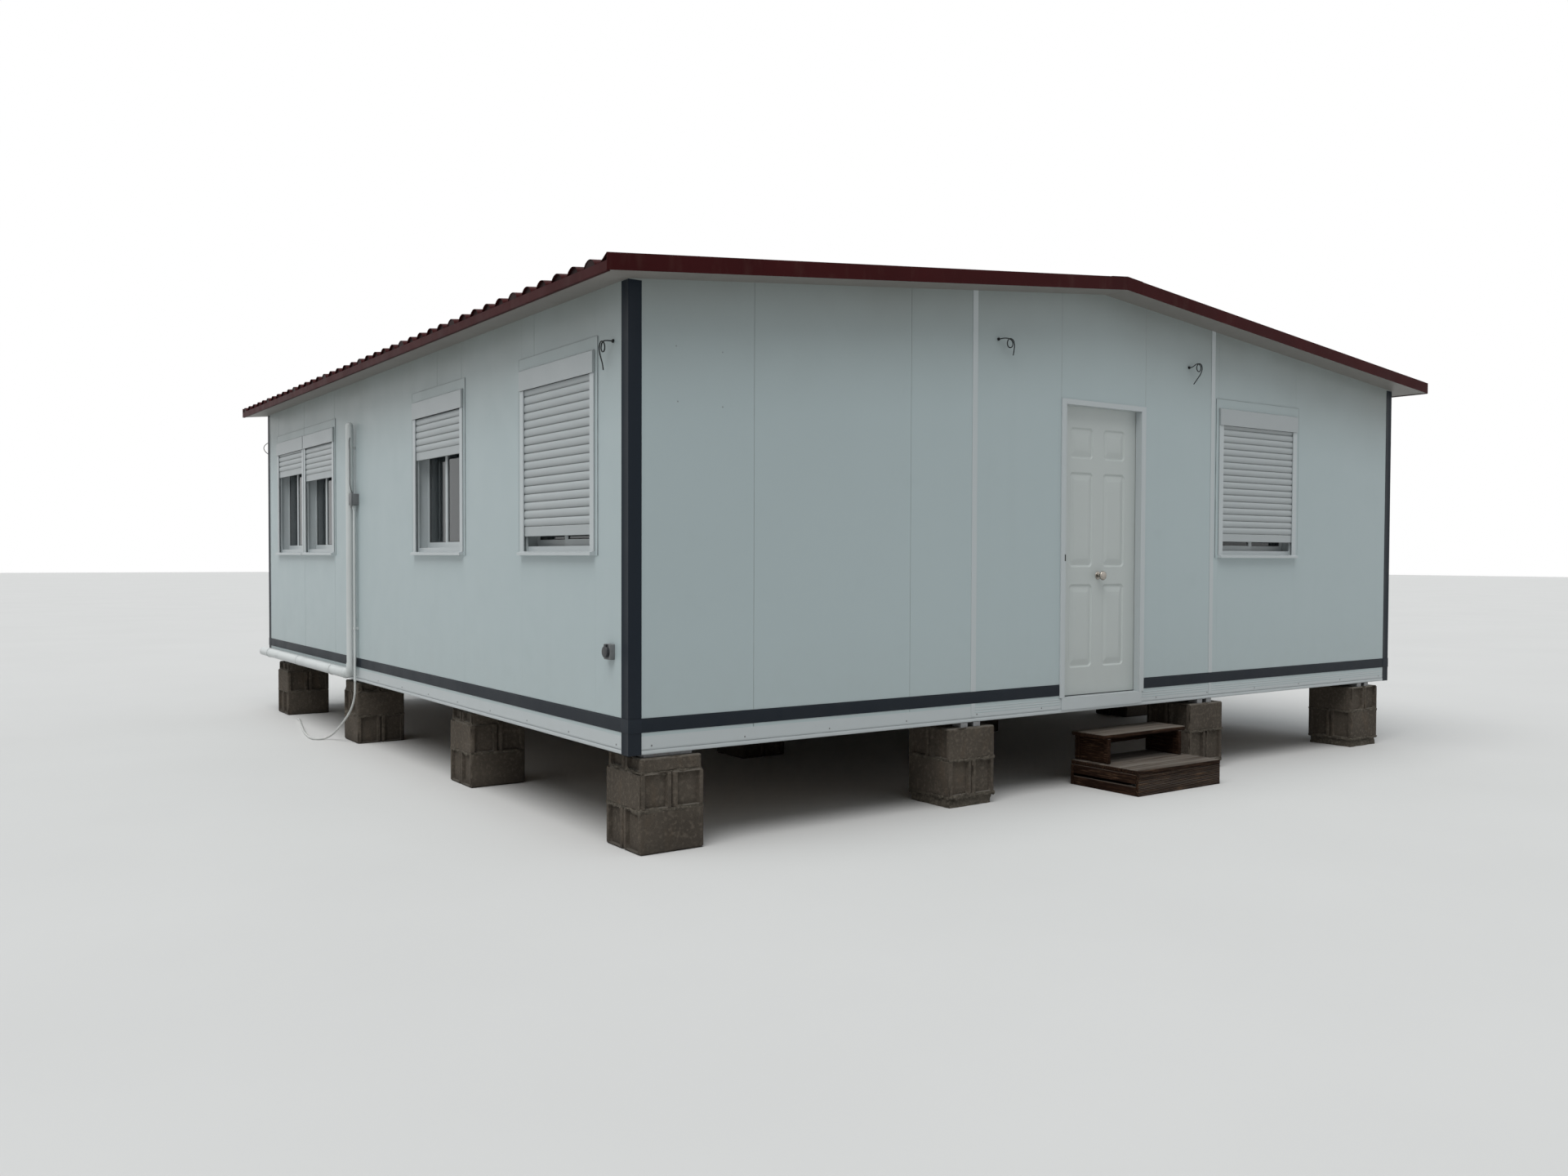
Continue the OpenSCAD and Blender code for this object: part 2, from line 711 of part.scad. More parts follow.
module roof_sheet() {
    under = rib_line(0);
    over = rib_line(sheet_t);
    run = (ridge_x + eave_out - sheet_t) / cos(roof_angle) - 2 * crest_h * roof_slope;
    on_slope() along_x(0, run)
        polygon(concat(under, [for (i = [len(over) - 1:-1:0]) over[i]]));
}

module roof_sheet_left() color(roof_red) cabin() roof_sheet();

module roof_sheet_right() color(roof_red) cabin()
    translate([cabin_w, 0, 0]) mirror([1, 0, 0]) roof_sheet();

module ridge_cap() color(roof_red) cabin() {
    low = crest_h + seat;
    line = [for (x = [-ridge_half, 0, ridge_half]) [ridge_x + x, roof_under(ridge_x + x) + low]];
    along_y(roof_from, roof_to)
        polygon(concat(line, [for (i = [2:-1:0]) line[i] + [0, sheet_t]]));
}

// A strip that follows the left slope from eaves to ridge
module slope_band(low, high) let (a = -eave_out, b = ridge_x - seam) polygon([
    [a, roof_under(a) + low], [b, roof_under(b) + low],
    [b, roof_under(b) + high], [a, roof_under(a) + high]
]);

// A verge trim in its own frame: a face down the roof's edge and a leg that slopes
// from its top to the flat of the sheet, room being the distance to the nearest rib
module verge_trim(room) both_slopes() {
    crest = sheet_t + rib_h;
    flat = sheet_t + seat;
    leg = min(verge_leg, room - seat);
    along_y(0, trim_t) slope_band(0, crest_h);
    intersection() {
        on_slope() along_x(-rib_h, ridge_x + 2 * eave_out) polygon([
            [0, crest - 2 * sheet_t], [0, crest], [trim_t, crest],
            [leg, flat + sheet_t], [leg, flat], [trim_t, crest - 2 * sheet_t]
        ]);
        block([-eave_out, 0, 0], [ridge_x - seam, leg, 2 * eave_z]);
    }
}

module verge_trim_front() color(roof_red) cabin() translate([0, roof_from, 0])
    verge_trim(first_rib * rib_pitch - rib_w / 2 - roof_from);

module verge_trim_back() color(roof_red) cabin() translate([0, roof_to, 0])
    mirror([0, 1, 0]) verge_trim(roof_to - last_rib * rib_pitch - rib_w / 2);

module eave_trims() color(roof_red) cabin() both_slopes() {
    face = -eave_out + trim_t;
    along_y(sheet_from, sheet_to) polygon([
        [-eave_out, eave_z - trim_t], [-eave_out, eave_z + roof_t],
        [face, eave_z + roof_t], [face, eave_z - seat],
        [face + eave_lip, roof_under(face + eave_lip) - seat - trim_t / 2],
        [face + eave_lip, eave_z - trim_t]
    ]);
}

// Draws its children at each window, in a frame with x = 0 at the window's middle
module at_windows() {
    translate([front_window, 0, 0]) children();
    for (x = side_windows) {
        left_side() translate([x, 0, 0]) children();
        right_side() translate([x, 0, 0]) children();
    }
}

half_w = window_w / 2 - seat;
sill_top = sill_z + sill_t;

module window_sills() color(steel) cabin() at_windows()
    along_x(-half_w, half_w) polygon([
        [-sill_out, sill_z + seat], [frame_in, sill_z + seat], [frame_in, sill_top],
        [-guide_out - sill_flat, sill_top], [-sill_out, sill_top - sill_t / 3]
    ]);

// A guide is a channel that holds the ends of the slats
module shutter_guides() color(white) cabin() at_windows()
    for (m = [0, 1]) mirror([m, 0, 0])
        translate([0, 0, sill_top + seat]) linear_extrude(box_z - sill_top - 2 * seat)
            polygon([
                [half_w, -guide_out], [half_w, guide_in],
                [half_w - guide_w, guide_in], [half_w - guide_w, slot_in],
                [half_w - guide_w / 3, slot_in], [half_w - guide_w / 3, -slot_out],
                [half_w - guide_w, -slot_out], [half_w - guide_w, -guide_out]
            ]);

frame_out = guide_in + seat;

module window_frames() color(white) cabin() at_windows() {
    low = sill_top + seat;
    high = box_z - seat;
    block([-half_w, frame_out, low], [half_w, frame_in, low + frame_w]);
    block([-half_w, frame_out, high - frame_w], [half_w, frame_in, high]);
    for (m = [0, 1]) mirror([m, 0, 0]) block(
        [half_w - frame_w, frame_out, low + frame_w + seat],
        [half_w, frame_in, high - frame_w - seat]
    );
}

sash_low = sill_top + frame_w + 2 * seat;
sash_high = box_z - frame_w - 2 * seat;
sash_side = half_w - frame_w - seat;
// Front face of each sash, the outer one first
sash_y = [frame_in - 2 * sash_t - 5 / 3 * sash_gap, frame_in - sash_t - 2 / 3 * sash_gap];

// Runs its children for the outer sash on one side and the inner on the other
module at_sashes() at_windows() {
    translate([0, sash_y[0], 0]) children();
    translate([0, sash_y[1], 0]) mirror([1, 0, 0]) children();
}

module window_sashes() color(white) cabin() at_sashes() {
    a = -sash_side;
    b = sash_w / 2;
    block([a, 0, sash_low], [b, sash_t, sash_low + sash_w]);
    block([a, 0, sash_high - sash_w], [b, sash_t, sash_high]);
    for (x = [a, b - sash_w])
        block([x, 0, sash_low + sash_w + seat], [x + sash_w, sash_t, sash_high - sash_w - seat]);
}

module window_glass() color([0.35, 0.42, 0.45]) cabin() at_sashes() {
    y = (sash_t - glass_t) / 2;
    block(
        [-sash_side + sash_w + seat, y, sash_low + sash_w + seat],
        [-sash_w / 2 - seat, y + glass_t, sash_high - sash_w - seat]
    );
}

module shutter_boxes() color(white) cabin() at_windows() {
    bevel = box_out / 3;
    along_x(-half_w, half_w) polygon([
        [-box_out, box_z], [-box_out, window_top - bevel], [-box_out + bevel, window_top - seat],
        [frame_in, window_top - seat], [frame_in, box_z],
        [slot_in, box_z], [slot_in, slot_top], [-slot_out, slot_top], [-slot_out, box_z]
    ]);
}

// A flat trim over a window and down both its sides, as wide as left and right say
module flat_trim(left, right) {
    block([-half_w - left, -flat_t, window_top + seat],
        [half_w + right, -seat, window_top + head_h]);
    block([-half_w - left, -flat_t, sill_z], [-half_w - seat, -seat, window_top]);
    block([half_w + seat, -flat_t, sill_z], [half_w + right, -seat, window_top]);
}

// Width that a side window's trim has before it would meet the next one
function trim_room(i, step) = let (j = i + step)
    j < 0 || j >= len(side_windows) ? side_trim
    : min(side_trim, (abs(side_windows[j] - side_windows[i]) - window_w) / 2);

module window_trims() color(white) cabin() {
    translate([front_window, 0, 0]) flat_trim(side_trim, side_trim);
    for (i = [0:len(side_windows) - 1]) {
        left_side() translate([side_windows[i], 0, 0])
            flat_trim(trim_room(i, -1), trim_room(i, 1));
        right_side() translate([side_windows[i], 0, 0])
            flat_trim(trim_room(i, -1), trim_room(i, 1));
    }
}

slat_back = slat_bulge / 2 + slat_t;
// Middle of the tongue, and half its thickness and half that of the groove round it
tongue_y = slat_back - slat_t / 2;
tongue_half = tongue_t / 2;
groove_half = tongue_half + tongue_clear;

// The tongue over a slat or rail of height h, from its back to its front
function tongue(h) = [
    [tongue_y + tongue_half, h], [tongue_y + tongue_half, h + tongue_h],
    [tongue_y - tongue_half, h + tongue_h], [tongue_y - tongue_half, h]
];

// A slat in section, its foot at z = 0: a bulging face, a tongue on top and a
// groove in the foot that takes the tongue of the slat below
module slat_profile() {
    h = slat_pitch - seam;
    face = [for (k = [slat_steps:-1:0]) let (a = 180 * k / slat_steps)
        [slat_bulge / 2 - slat_bulge * sin(a), h * (1 - cos(a)) / 2]];
    hollow = [for (k = [0:slat_steps / 2]) let (a = 360 * k / slat_steps)
        [slat_back - slat_t / 6 * sin(a), h * (1 - cos(a)) / 2]];
    polygon(concat(
        hollow, tongue(h), face,
        [[tongue_y - groove_half, 0], [tongue_y - groove_half, tongue_h + tongue_clear],
         [tongue_y + groove_half, tongue_h + tongue_clear], [tongue_y + groove_half, 0]]
    ));
}

// A roller shutter let down to a height z
module shutter(z) {
    span = half_w - guide_w / 3 - slat_clear;
    face = rail_in - slat_bulge / 2;
    top = z + rail_h - seam;
    slats = ceil((box_z - z - rail_h) / slat_pitch);
    along_x(-span, span) polygon(concat(
        [[face, z], [slat_back, z], [slat_back, top]], tongue(top), [[face, top]]
    ));
    for (i = [0:slats - 1])
        translate([0, 0, z + rail_h + i * slat_pitch]) along_x(-span, span) slat_profile();
}

module left_shutter(i) color(white) cabin() left_side()
    translate([side_windows[i], 0, 0]) shutter(side_shutters[i]);

module left_shutter_1() left_shutter(0);

module left_shutter_2() left_shutter(1);

module left_shutter_3() left_shutter(2);

module left_shutter_4() left_shutter(3);

module right_shutters() color(white) cabin() right_side()
    for (i = [0:len(side_windows) - 1]) translate([side_windows[i], 0, 0]) shutter(side_shutters[i]);

module front_shutter() color(white) cabin()
    translate([front_window, 0, 0]) shutter(front_shutter_z);

module door_lining() color(white) cabin() {
    low = base_h + trim_t + seat;
    high = door_top - lining_t;
    block([door_x, -lining_out, high + stop_t], [door_x + door_w, leaf_back, door_top]);
    for (x = [door_x, door_x + door_w - lining_t])
        block([x, -lining_out, low], [x + lining_t, leaf_back, high + stop_t - seat]);
}

module door_stops() color(white) cabin() {
    low = base_h + trim_t + seat;
    a = clear_x + seat;
    b = clear_x + clear_w - seat;
    block([a, -lining_out, clear_top - stop_t], [b, stop_in, clear_top - seat]);
    for (x = [a, b - stop_t + seat])
        block([x, -lining_out, low], [x + stop_t - seat, stop_in, clear_top - stop_t - seat]);
}

module door_threshold() color(steel) cabin()
    along_x(door_x + threshold_in, door_x + door_w - threshold_in) polygon([
        [-lining_out, threshold_z], [-seat, threshold_z], [-seat, base_h + seat],
        [leaf_back, base_h + seat], [leaf_back, base_h + trim_t], [-lining_out, base_h + trim_t]
    ]);

// A hinge plate and its knuckle, x towards the plate's end, z = 0 at the knuckle's foot
module hinge_half(bore) difference() {
    union() {
        cylinder(h = knuckle_h, d = knuckle_d);
        block([0, leaf_back - hinge_y + seat, 0],
            [hinge_plate_w, leaf_back - hinge_y + hinge_plate_t, knuckle_h]);
    }
    if (bore) translate([0, 0, -past])
        cylinder(h = knuckle_h + 2 * past, d = pin_d + 2 * pin_clear);
}

module at_hinges() for (z = hinge_z) translate([hinge_x, hinge_y, z]) children();

module door_hinge_pins() color(steel) cabin() at_hinges() {
    translate([0, 0, -knuckle_h - seat / 2]) hinge_half(false);
    translate([0, 0, -seat]) cylinder(h = knuckle_h, d = pin_d);
}

module door_hinge_knuckles() color(steel) cabin() at_hinges()
    translate([0, 0, seat / 2]) mirror([1, 0, 0]) hinge_half(true);

// Columns and rows of the six door panels, from the edges of the door frame
panel_cols = [[146, 380], [490, 717]];
panel_rows = [[299, 883], [1002, 1664], [1757, 1975]];

// A raised door panel with sloping edges, its foot at y = 0
module raised_panel(low, high) hull() {
    block([low.x, 0, low.y], [high.x, past, high.y]);
    block([low.x + panel_slope, -panel_d, low.y + panel_slope],
        [high.x - panel_slope, -panel_d + past, high.y - panel_slope]);
}

module door_leaf() color(door_white) cabin() {
    difference() {
        block([leaf_x, leaf_front, leaf_z], [leaf_x + leaf_w, leaf_back, leaf_z + leaf_h]);
        for (c = panel_cols, r = panel_rows)
            block([door_x + c[0], leaf_front - past, r[0]],
                [door_x + c[1], leaf_front + panel_d, r[1]]);
    }
    for (c = panel_cols, r = panel_rows)
        translate([0, leaf_front + panel_d - seat / 2, 0])
            raised_panel([door_x + c[0] + panel_groove, r[0] + panel_groove],
                [door_x + c[1] - panel_groove, r[1] - panel_groove]);
}

module door_knob() color(steel) cabin()
    translate([leaf_x + leaf_w / 2, leaf_front - seat, knob_z]) rotate([90, 0, 0]) {
        stem = knob_d * 0.36;
        rotate_extrude() polygon([
            [0, 0], [knob_d * 0.42, 0], [knob_d * 0.42, rose_t * 0.4],
            [knob_d * 0.3, rose_t * 0.8], [stem / 2, rose_t], [stem / 2, knob_out - knob_round],
            [knob_d * 0.38, knob_out - knob_round * 0.87], [knob_d / 2, knob_out - knob_round / 2],
            [knob_d * 0.46, knob_out - knob_round / 5],
            [knob_d * 0.3, knob_out - knob_round / 30], [0, knob_out]
        ]);
    }

// Runs its children at the low piers under the front or else at the full ones
module at_piers(low, turned = 1) for (i = [0:len(pier_x)], j = [0:len(pier_y) - 1])
    if (low ? i > 0 && j == 0 : i == 0 || j > 0)
        translate(pier_middle(i, j)) rotate(turned * pier_turn(i, j)) children();

// Two blocks side by side that run along x, each with hollowed ends
module course(h) for (m = [0, 1]) mirror([0, m, 0]) difference() {
    block([-pier_w / 2, block_gap / 2, 0], [pier_w / 2, pier_w / 2, h]);
    for (n = [0, 1]) mirror([n, 0, 0]) block(
        [pier_w / 2 - block_hollow, block_gap / 2 + block_rim, block_rim],
        [pier_w / 2 + past, pier_w / 2 - block_rim, h - block_rim]
    );
}

// A square layer of a pier between two heights
module layer(w, low, high) block([-w / 2, -w / 2, low], [w / 2, w / 2, high]);

module pier_lower_blocks() color(concrete) cabin() {
    at_piers(false) course(lower_h);
    at_piers(true) {
        layer(pier_w, 0, bed_h - seat);
        translate([0, 0, bed_h]) course(lower_h);
    }
}

module pier_upper_blocks() color(concrete) cabin() {
    at_piers(false) translate([0, 0, lower_h]) rotate(90) course(upper_h);
    at_piers(true) translate([0, 0, bed_h + lower_h]) rotate(90) course(upper_h);
}

module pier_caps() color(concrete) cabin() at_piers(false)
    layer(cap_w, lower_h + upper_h, lower_h + upper_h + cap_h);

// Flat plates on the full piers, four small packers on the low ones
module bearing_plates() color(steel) cabin() {
    at_piers(false) layer(plate_w, base_z - plate_t, base_z);
    at_piers(true, 0) for (x = [-1, 1], y = [-1, 1])
        translate([x * packer_in[0] - packer.x / 2, y * packer_in[1] - packer.y / 2,
            base_z - packer.z]) cube(packer);
}

// The steps stand on the ground, in a frame with z up from it
module on_ground() cabin() translate([0, 0, -base_z]) children();

steps_mid = steps_y + tread_d;
steps_back = steps_mid + tread_d - seat;

// Draws its children at the left end of the steps, x inwards from it, and at the right
module step_ends() translate([step_x + step_w / 2, 0, 0]) for (m = [0, 1])
    mirror([m, 0, 0]) translate([-step_w / 2, 0, 0]) children();

// The lower step is a box under both treads, its sides of two boards with a slot
module lower_step_boards() {
    high = step_1 - tread_t;
    side = (high - board_slot) / 2;
    for (y = [steps_y, steps_back - board_t])
        block([step_x, y, 0], [step_x + step_w, y + board_t, high]);
    step_ends() for (z = [0, side + board_slot]) block(
        [0, steps_y + board_t + seat, z], [board_t, steps_back - board_t - seat, z + side]
    );
}

// The upper step stands on the lower one: two sides between posts and a board behind
module upper_step_boards() {
    low = step_1 + seat;
    high = step_2 - tread_t;
    inner = side_in + board_t + seat;
    step_ends() {
        for (y = [steps_mid, steps_back - post_w])
            block([side_in - post_out, y, low], [side_in + board_t, y + post_w, high]);
        block([side_in, steps_mid + post_w + seat, low],
            [side_in + board_t, steps_back - post_w - seat, high]);
    }
    block([step_x + inner, steps_back - board_t, (low + high) / 2],
        [step_x + step_w - inner, steps_back, high]);
}

module step_boards() color(timber) on_ground() {
    lower_step_boards();
    upper_step_boards();
}

module step_treads() color(timber) on_ground() for (z = [step_1, step_2]) let (
    start = z == step_1 ? steps_y : steps_mid,
    board = tread_d / 2
) for (y = [start:board:steps_back - board / 2])
    block([step_x, y, z - tread_t + seat], [step_x + step_w, y + board - tread_gap, z]);

module pipe(d, length) difference() {
    cylinder(h = length, d = d);
    translate([0, 0, -past]) cylinder(h = length + 2 * past, d = d - 2 * pipe_wall);
}

elbow_top = drain_z + elbow_r + socket_l;
socket_d = vent_d + 2 * socket_t;

module vent_pipe() color(white) cabin() left_side() translate([vent_y, -vent_out, 0]) {
    translate([0, 0, elbow_top + seat]) pipe(vent_d, vent_top - elbow_top - seat);
    translate([0, 0, vent_top + seat]) rotate_extrude() polygon(concat(
        [[0, 0]], [for (a = [0:15:75]) [vent_d / 2 * cos(a), cap_rise * sin(a)]], [[0, cap_rise]]
    ));
}

module drain_pipe() color(white) cabin() left_side() {
    start = vent_y + elbow_r + socket_l;
    translate([start + seat, -drain_out, drain_z]) rotate([0, 90, 0])
        pipe(drain_d, cabin_l + drain_end - start - seat);
    translate([vent_y + elbow_r, -vent_out, drain_z + elbow_r]) rotate([90, 0, 0])
        rotate_extrude(angle = 90) translate([-elbow_r, 0]) circle(d = socket_d);
    translate([vent_y, -vent_out, drain_z + elbow_r]) cylinder(h = socket_l, d = socket_d);
    translate([vent_y + elbow_r, -vent_out, drain_z]) rotate([0, 90, 0])
        cylinder(h = socket_l, d = socket_d);
}

// A clip round a pipe: a ring and a foot that reaches back to the wall
module clip(d, out) difference() {
    union() {
        cylinder(h = clip_w, d = d + 2 * seat + 2 * clip_t, center = true);
        block([-clip_w / 2, d / 2, -clip_w / 2], [clip_w / 2, out - seat, clip_w / 2]);
    }
    cylinder(h = clip_w + 2 * past, d = d + 2 * seat, center = true);
}

module pipe_clips() color(steel) cabin() left_side() {
    for (z = vent_supports) block(
        [vent_y - clip_w / 2, vent_d / 2 + seat - vent_out, z - clip_w / 2],
        [vent_y + clip_w / 2, -seat, z + clip_w / 2]
    );
    translate([conduit_y, -conduit_out, conduit_clip]) clip(conduit_d, conduit_out);
    first = vent_y + drain_clip_in;
    last = cabin_l - drain_clip_back;
    for (y = [first, (first + last) / 2, last])
        translate([y, -drain_out, drain_z]) rotate([0, 90, 0]) clip(drain_d, drain_out);
}

module junction_box() color(box_grey) cabin() left_side() difference() {
    block([junction_y, -junction.y, junction_z],
        [junction_y + junction.x, -seat, junction_z + junction.z]);
    for (s = [0, 1]) translate([0, 0, s * (junction.z - lid_step)]) block(
        [junction_y - past, -junction.y - past, junction_z],
        [junction_y + junction.x + past, -junction.y + lid_step / 3, junction_z + lid_step]
    );
}

module conduit() color(white) cabin() left_side()
    translate([conduit_y, -conduit_out, 0]) pipe(conduit_d, junction_z - seat);

module outlet_box() color(box_grey) cabin() left_side() {
    block([outlet_y, -outlet.y, outlet_z], [outlet_y + outlet.x, -seat, outlet_z + outlet.z]);
    translate([outlet_y + outlet.x / 2, -outlet.y - seat, outlet_z + outlet.z / 2])
        rotate([90, 0, 0]) cylinder(h = hood_out, d = hood_d);
}

module gland(x, z) translate([x, -seat, z]) rotate([90, 0, 0])
    cylinder(h = gland_h - 2 * seat, d = gland_d);

// Small round glands where the loose cables leave the walls and the corner trim
module cable_glands() color(anthracite) cabin() {
    left_side() gland(tail_left[0].y, tail_left[0].z);
    gland(tail_front_1[0].x, tail_front_1[0].z);
    gland(tail_front_2[0].x, tail_front_2[0].z);
    back_side() translate([0, -trim_t, 0]) gland(tail_back[0].x, tail_back[0].z);
}

module cable_tail_left() color("black") cabin() tube(tail_left, cable_d);

module cable_tail_front_1() color("black") cabin() tube(tail_front_1, cable_d);

module cable_tail_front_2() color("black") cabin() tube(tail_front_2, cable_d);

module cable_tail_back() color("black") cabin()
    translate([0, cabin_l, 0]) tube(tail_back, cable_d);

module hose() color("white") cabin() translate([0, conduit_y, 0]) tube(hose_route, hose_d);

base_channels();
module_beams();
floor_joists();
floor_deck();
front_wall_left();
front_wall_over_door();
front_wall_right();
left_wall();
right_wall();
back_wall();
joint_covers();
corner_trims();
plinth_bands();
roof_beams();
roof_panels();
roof_sheet_left();
roof_sheet_right();
ridge_cap();
verge_trim_front();
verge_trim_back();
eave_trims();
window_sills();
window_frames();
window_sashes();
window_glass();
shutter_guides();
shutter_boxes();
window_trims();
left_shutter_1();
left_shutter_2();
left_shutter_3();
left_shutter_4();
right_shutters();
front_shutter();
door_lining();
door_stops();
door_threshold();
door_hinge_pins();
door_leaf();
door_knob();
door_hinge_knuckles();
pier_lower_blocks();
pier_upper_blocks();
pier_caps();
bearing_plates();
step_boards();
step_treads();
vent_pipe();
drain_pipe();
pipe_clips();
junction_box();
conduit();
outlet_box();
cable_glands();
cable_tail_left();
cable_tail_front_1();
cable_tail_front_2();
cable_tail_back();
hose();
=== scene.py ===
from math import ceil, copysign, cos, floor, pi, radians, sin

import bmesh
import bpy
from mathutils import Matrix, Vector, noise


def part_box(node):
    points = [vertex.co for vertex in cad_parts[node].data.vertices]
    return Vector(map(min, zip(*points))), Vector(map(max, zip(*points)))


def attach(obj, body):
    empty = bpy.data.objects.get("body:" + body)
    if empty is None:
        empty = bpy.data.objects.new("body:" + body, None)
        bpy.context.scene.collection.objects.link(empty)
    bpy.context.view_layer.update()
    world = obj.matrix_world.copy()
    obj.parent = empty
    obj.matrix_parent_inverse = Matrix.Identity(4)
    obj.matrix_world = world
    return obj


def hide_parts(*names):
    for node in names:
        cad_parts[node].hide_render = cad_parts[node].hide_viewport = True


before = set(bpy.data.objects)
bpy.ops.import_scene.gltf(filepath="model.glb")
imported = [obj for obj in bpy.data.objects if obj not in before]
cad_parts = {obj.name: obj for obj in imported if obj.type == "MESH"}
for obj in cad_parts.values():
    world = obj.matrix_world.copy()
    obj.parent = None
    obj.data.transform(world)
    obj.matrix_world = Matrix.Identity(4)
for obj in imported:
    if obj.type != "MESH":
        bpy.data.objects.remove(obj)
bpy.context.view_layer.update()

# The cabin's own frame, in metres: x along the front gable from its left corner,
# y back along the side wall and z up from the underside of the base
CORNER, FAR_CORNER = (Vector(corner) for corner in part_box("base_channels"))
WIDTH = FAR_CORNER.x - CORNER.x
LENGTH = FAR_CORNER.y - CORNER.y
GROUND = -CORNER.z
MM = 0.001
# Air that a seated piece keeps from its neighbour
CLEAR = 0.0003

# The roof, seen from the left eaves
SLOPE = 0.1
EAVE_OUT = 0.23
EAVE_Z = 2.51
ROOF_T = 0.048
RIB_PITCH = 0.2
RIB_W = 0.124
RIB_H = 0.038
RIB_FOOT = 0.012
RIB_STEPS = 14
SHEET_T = 0.001
ROOF_SCREW_ROWS = (0.12, 1.3, 2.5, 3.6)

# Photograph's camera: place in the cabin's frame, lens and turn
CAMERA_AT = (-3.1327, -5.8735, 1.0633)
CAMERA_LENS = 28.59
CAMERA_YAW = 35.19
CAMERA_PITCH = 1.411
CAMERA_ROLL = -0.192

BODY = "cabin"
DOOR_BODY = "door"


def at(x, y, z):
    """A point of the cabin's frame in the model's frame."""
    return CORNER + Vector((x, y, z))


def add_object(name, data):
    made = bpy.data.objects.new(name, data)
    bpy.context.scene.collection.objects.link(made)
    return made


# A wall's frame has u along it, d inwards from its face and z up
front_side = at


def left_side(u, d, z):
    return at(d, u, z)


def right_side(u, d, z):
    return at(WIDTH - d, u, z)


def back_side(u, d, z):
    return at(u, LENGTH - d, z)


# Camera

def make_camera():
    yaw, pitch, roll = (radians(a) for a in (CAMERA_YAW, CAMERA_PITCH, CAMERA_ROLL))
    forward = Vector((sin(yaw) * cos(pitch), cos(yaw) * cos(pitch), -sin(pitch)))
    level = Vector((cos(yaw), -sin(yaw), 0))
    down = forward.cross(level)
    right = level * cos(roll) + down * sin(roll)
    down = down * cos(roll) - level * sin(roll)
    data = bpy.data.cameras.new("camera")
    data.lens = CAMERA_LENS
    data.sensor_width = 36
    camera = add_object("camera", data)
    turn = Matrix((right, -down, -forward)).transposed()
    camera.matrix_world = Matrix.Translation(at(*CAMERA_AT)) @ turn.to_4x4()
    bpy.context.scene.camera = camera


make_camera()

# Materials

MATERIAL = {}


def feed(tree, node, inputs):
    """Sets each of a node's inputs to a value, or links it to a socket."""
    for key, value in dict(inputs).items():
        if isinstance(value, bpy.types.NodeSocket):
            tree.links.new(value, node.inputs[key])
        else:
            node.inputs[key].default_value = value


def add_node(tree, kind, inputs=(), **settings):
    """Adds a node and gives its outputs."""
    made = tree.nodes.new("ShaderNode" + kind)
    for key, value in settings.items():
        setattr(made, key, value)
    feed(tree, made, inputs)
    return made.outputs


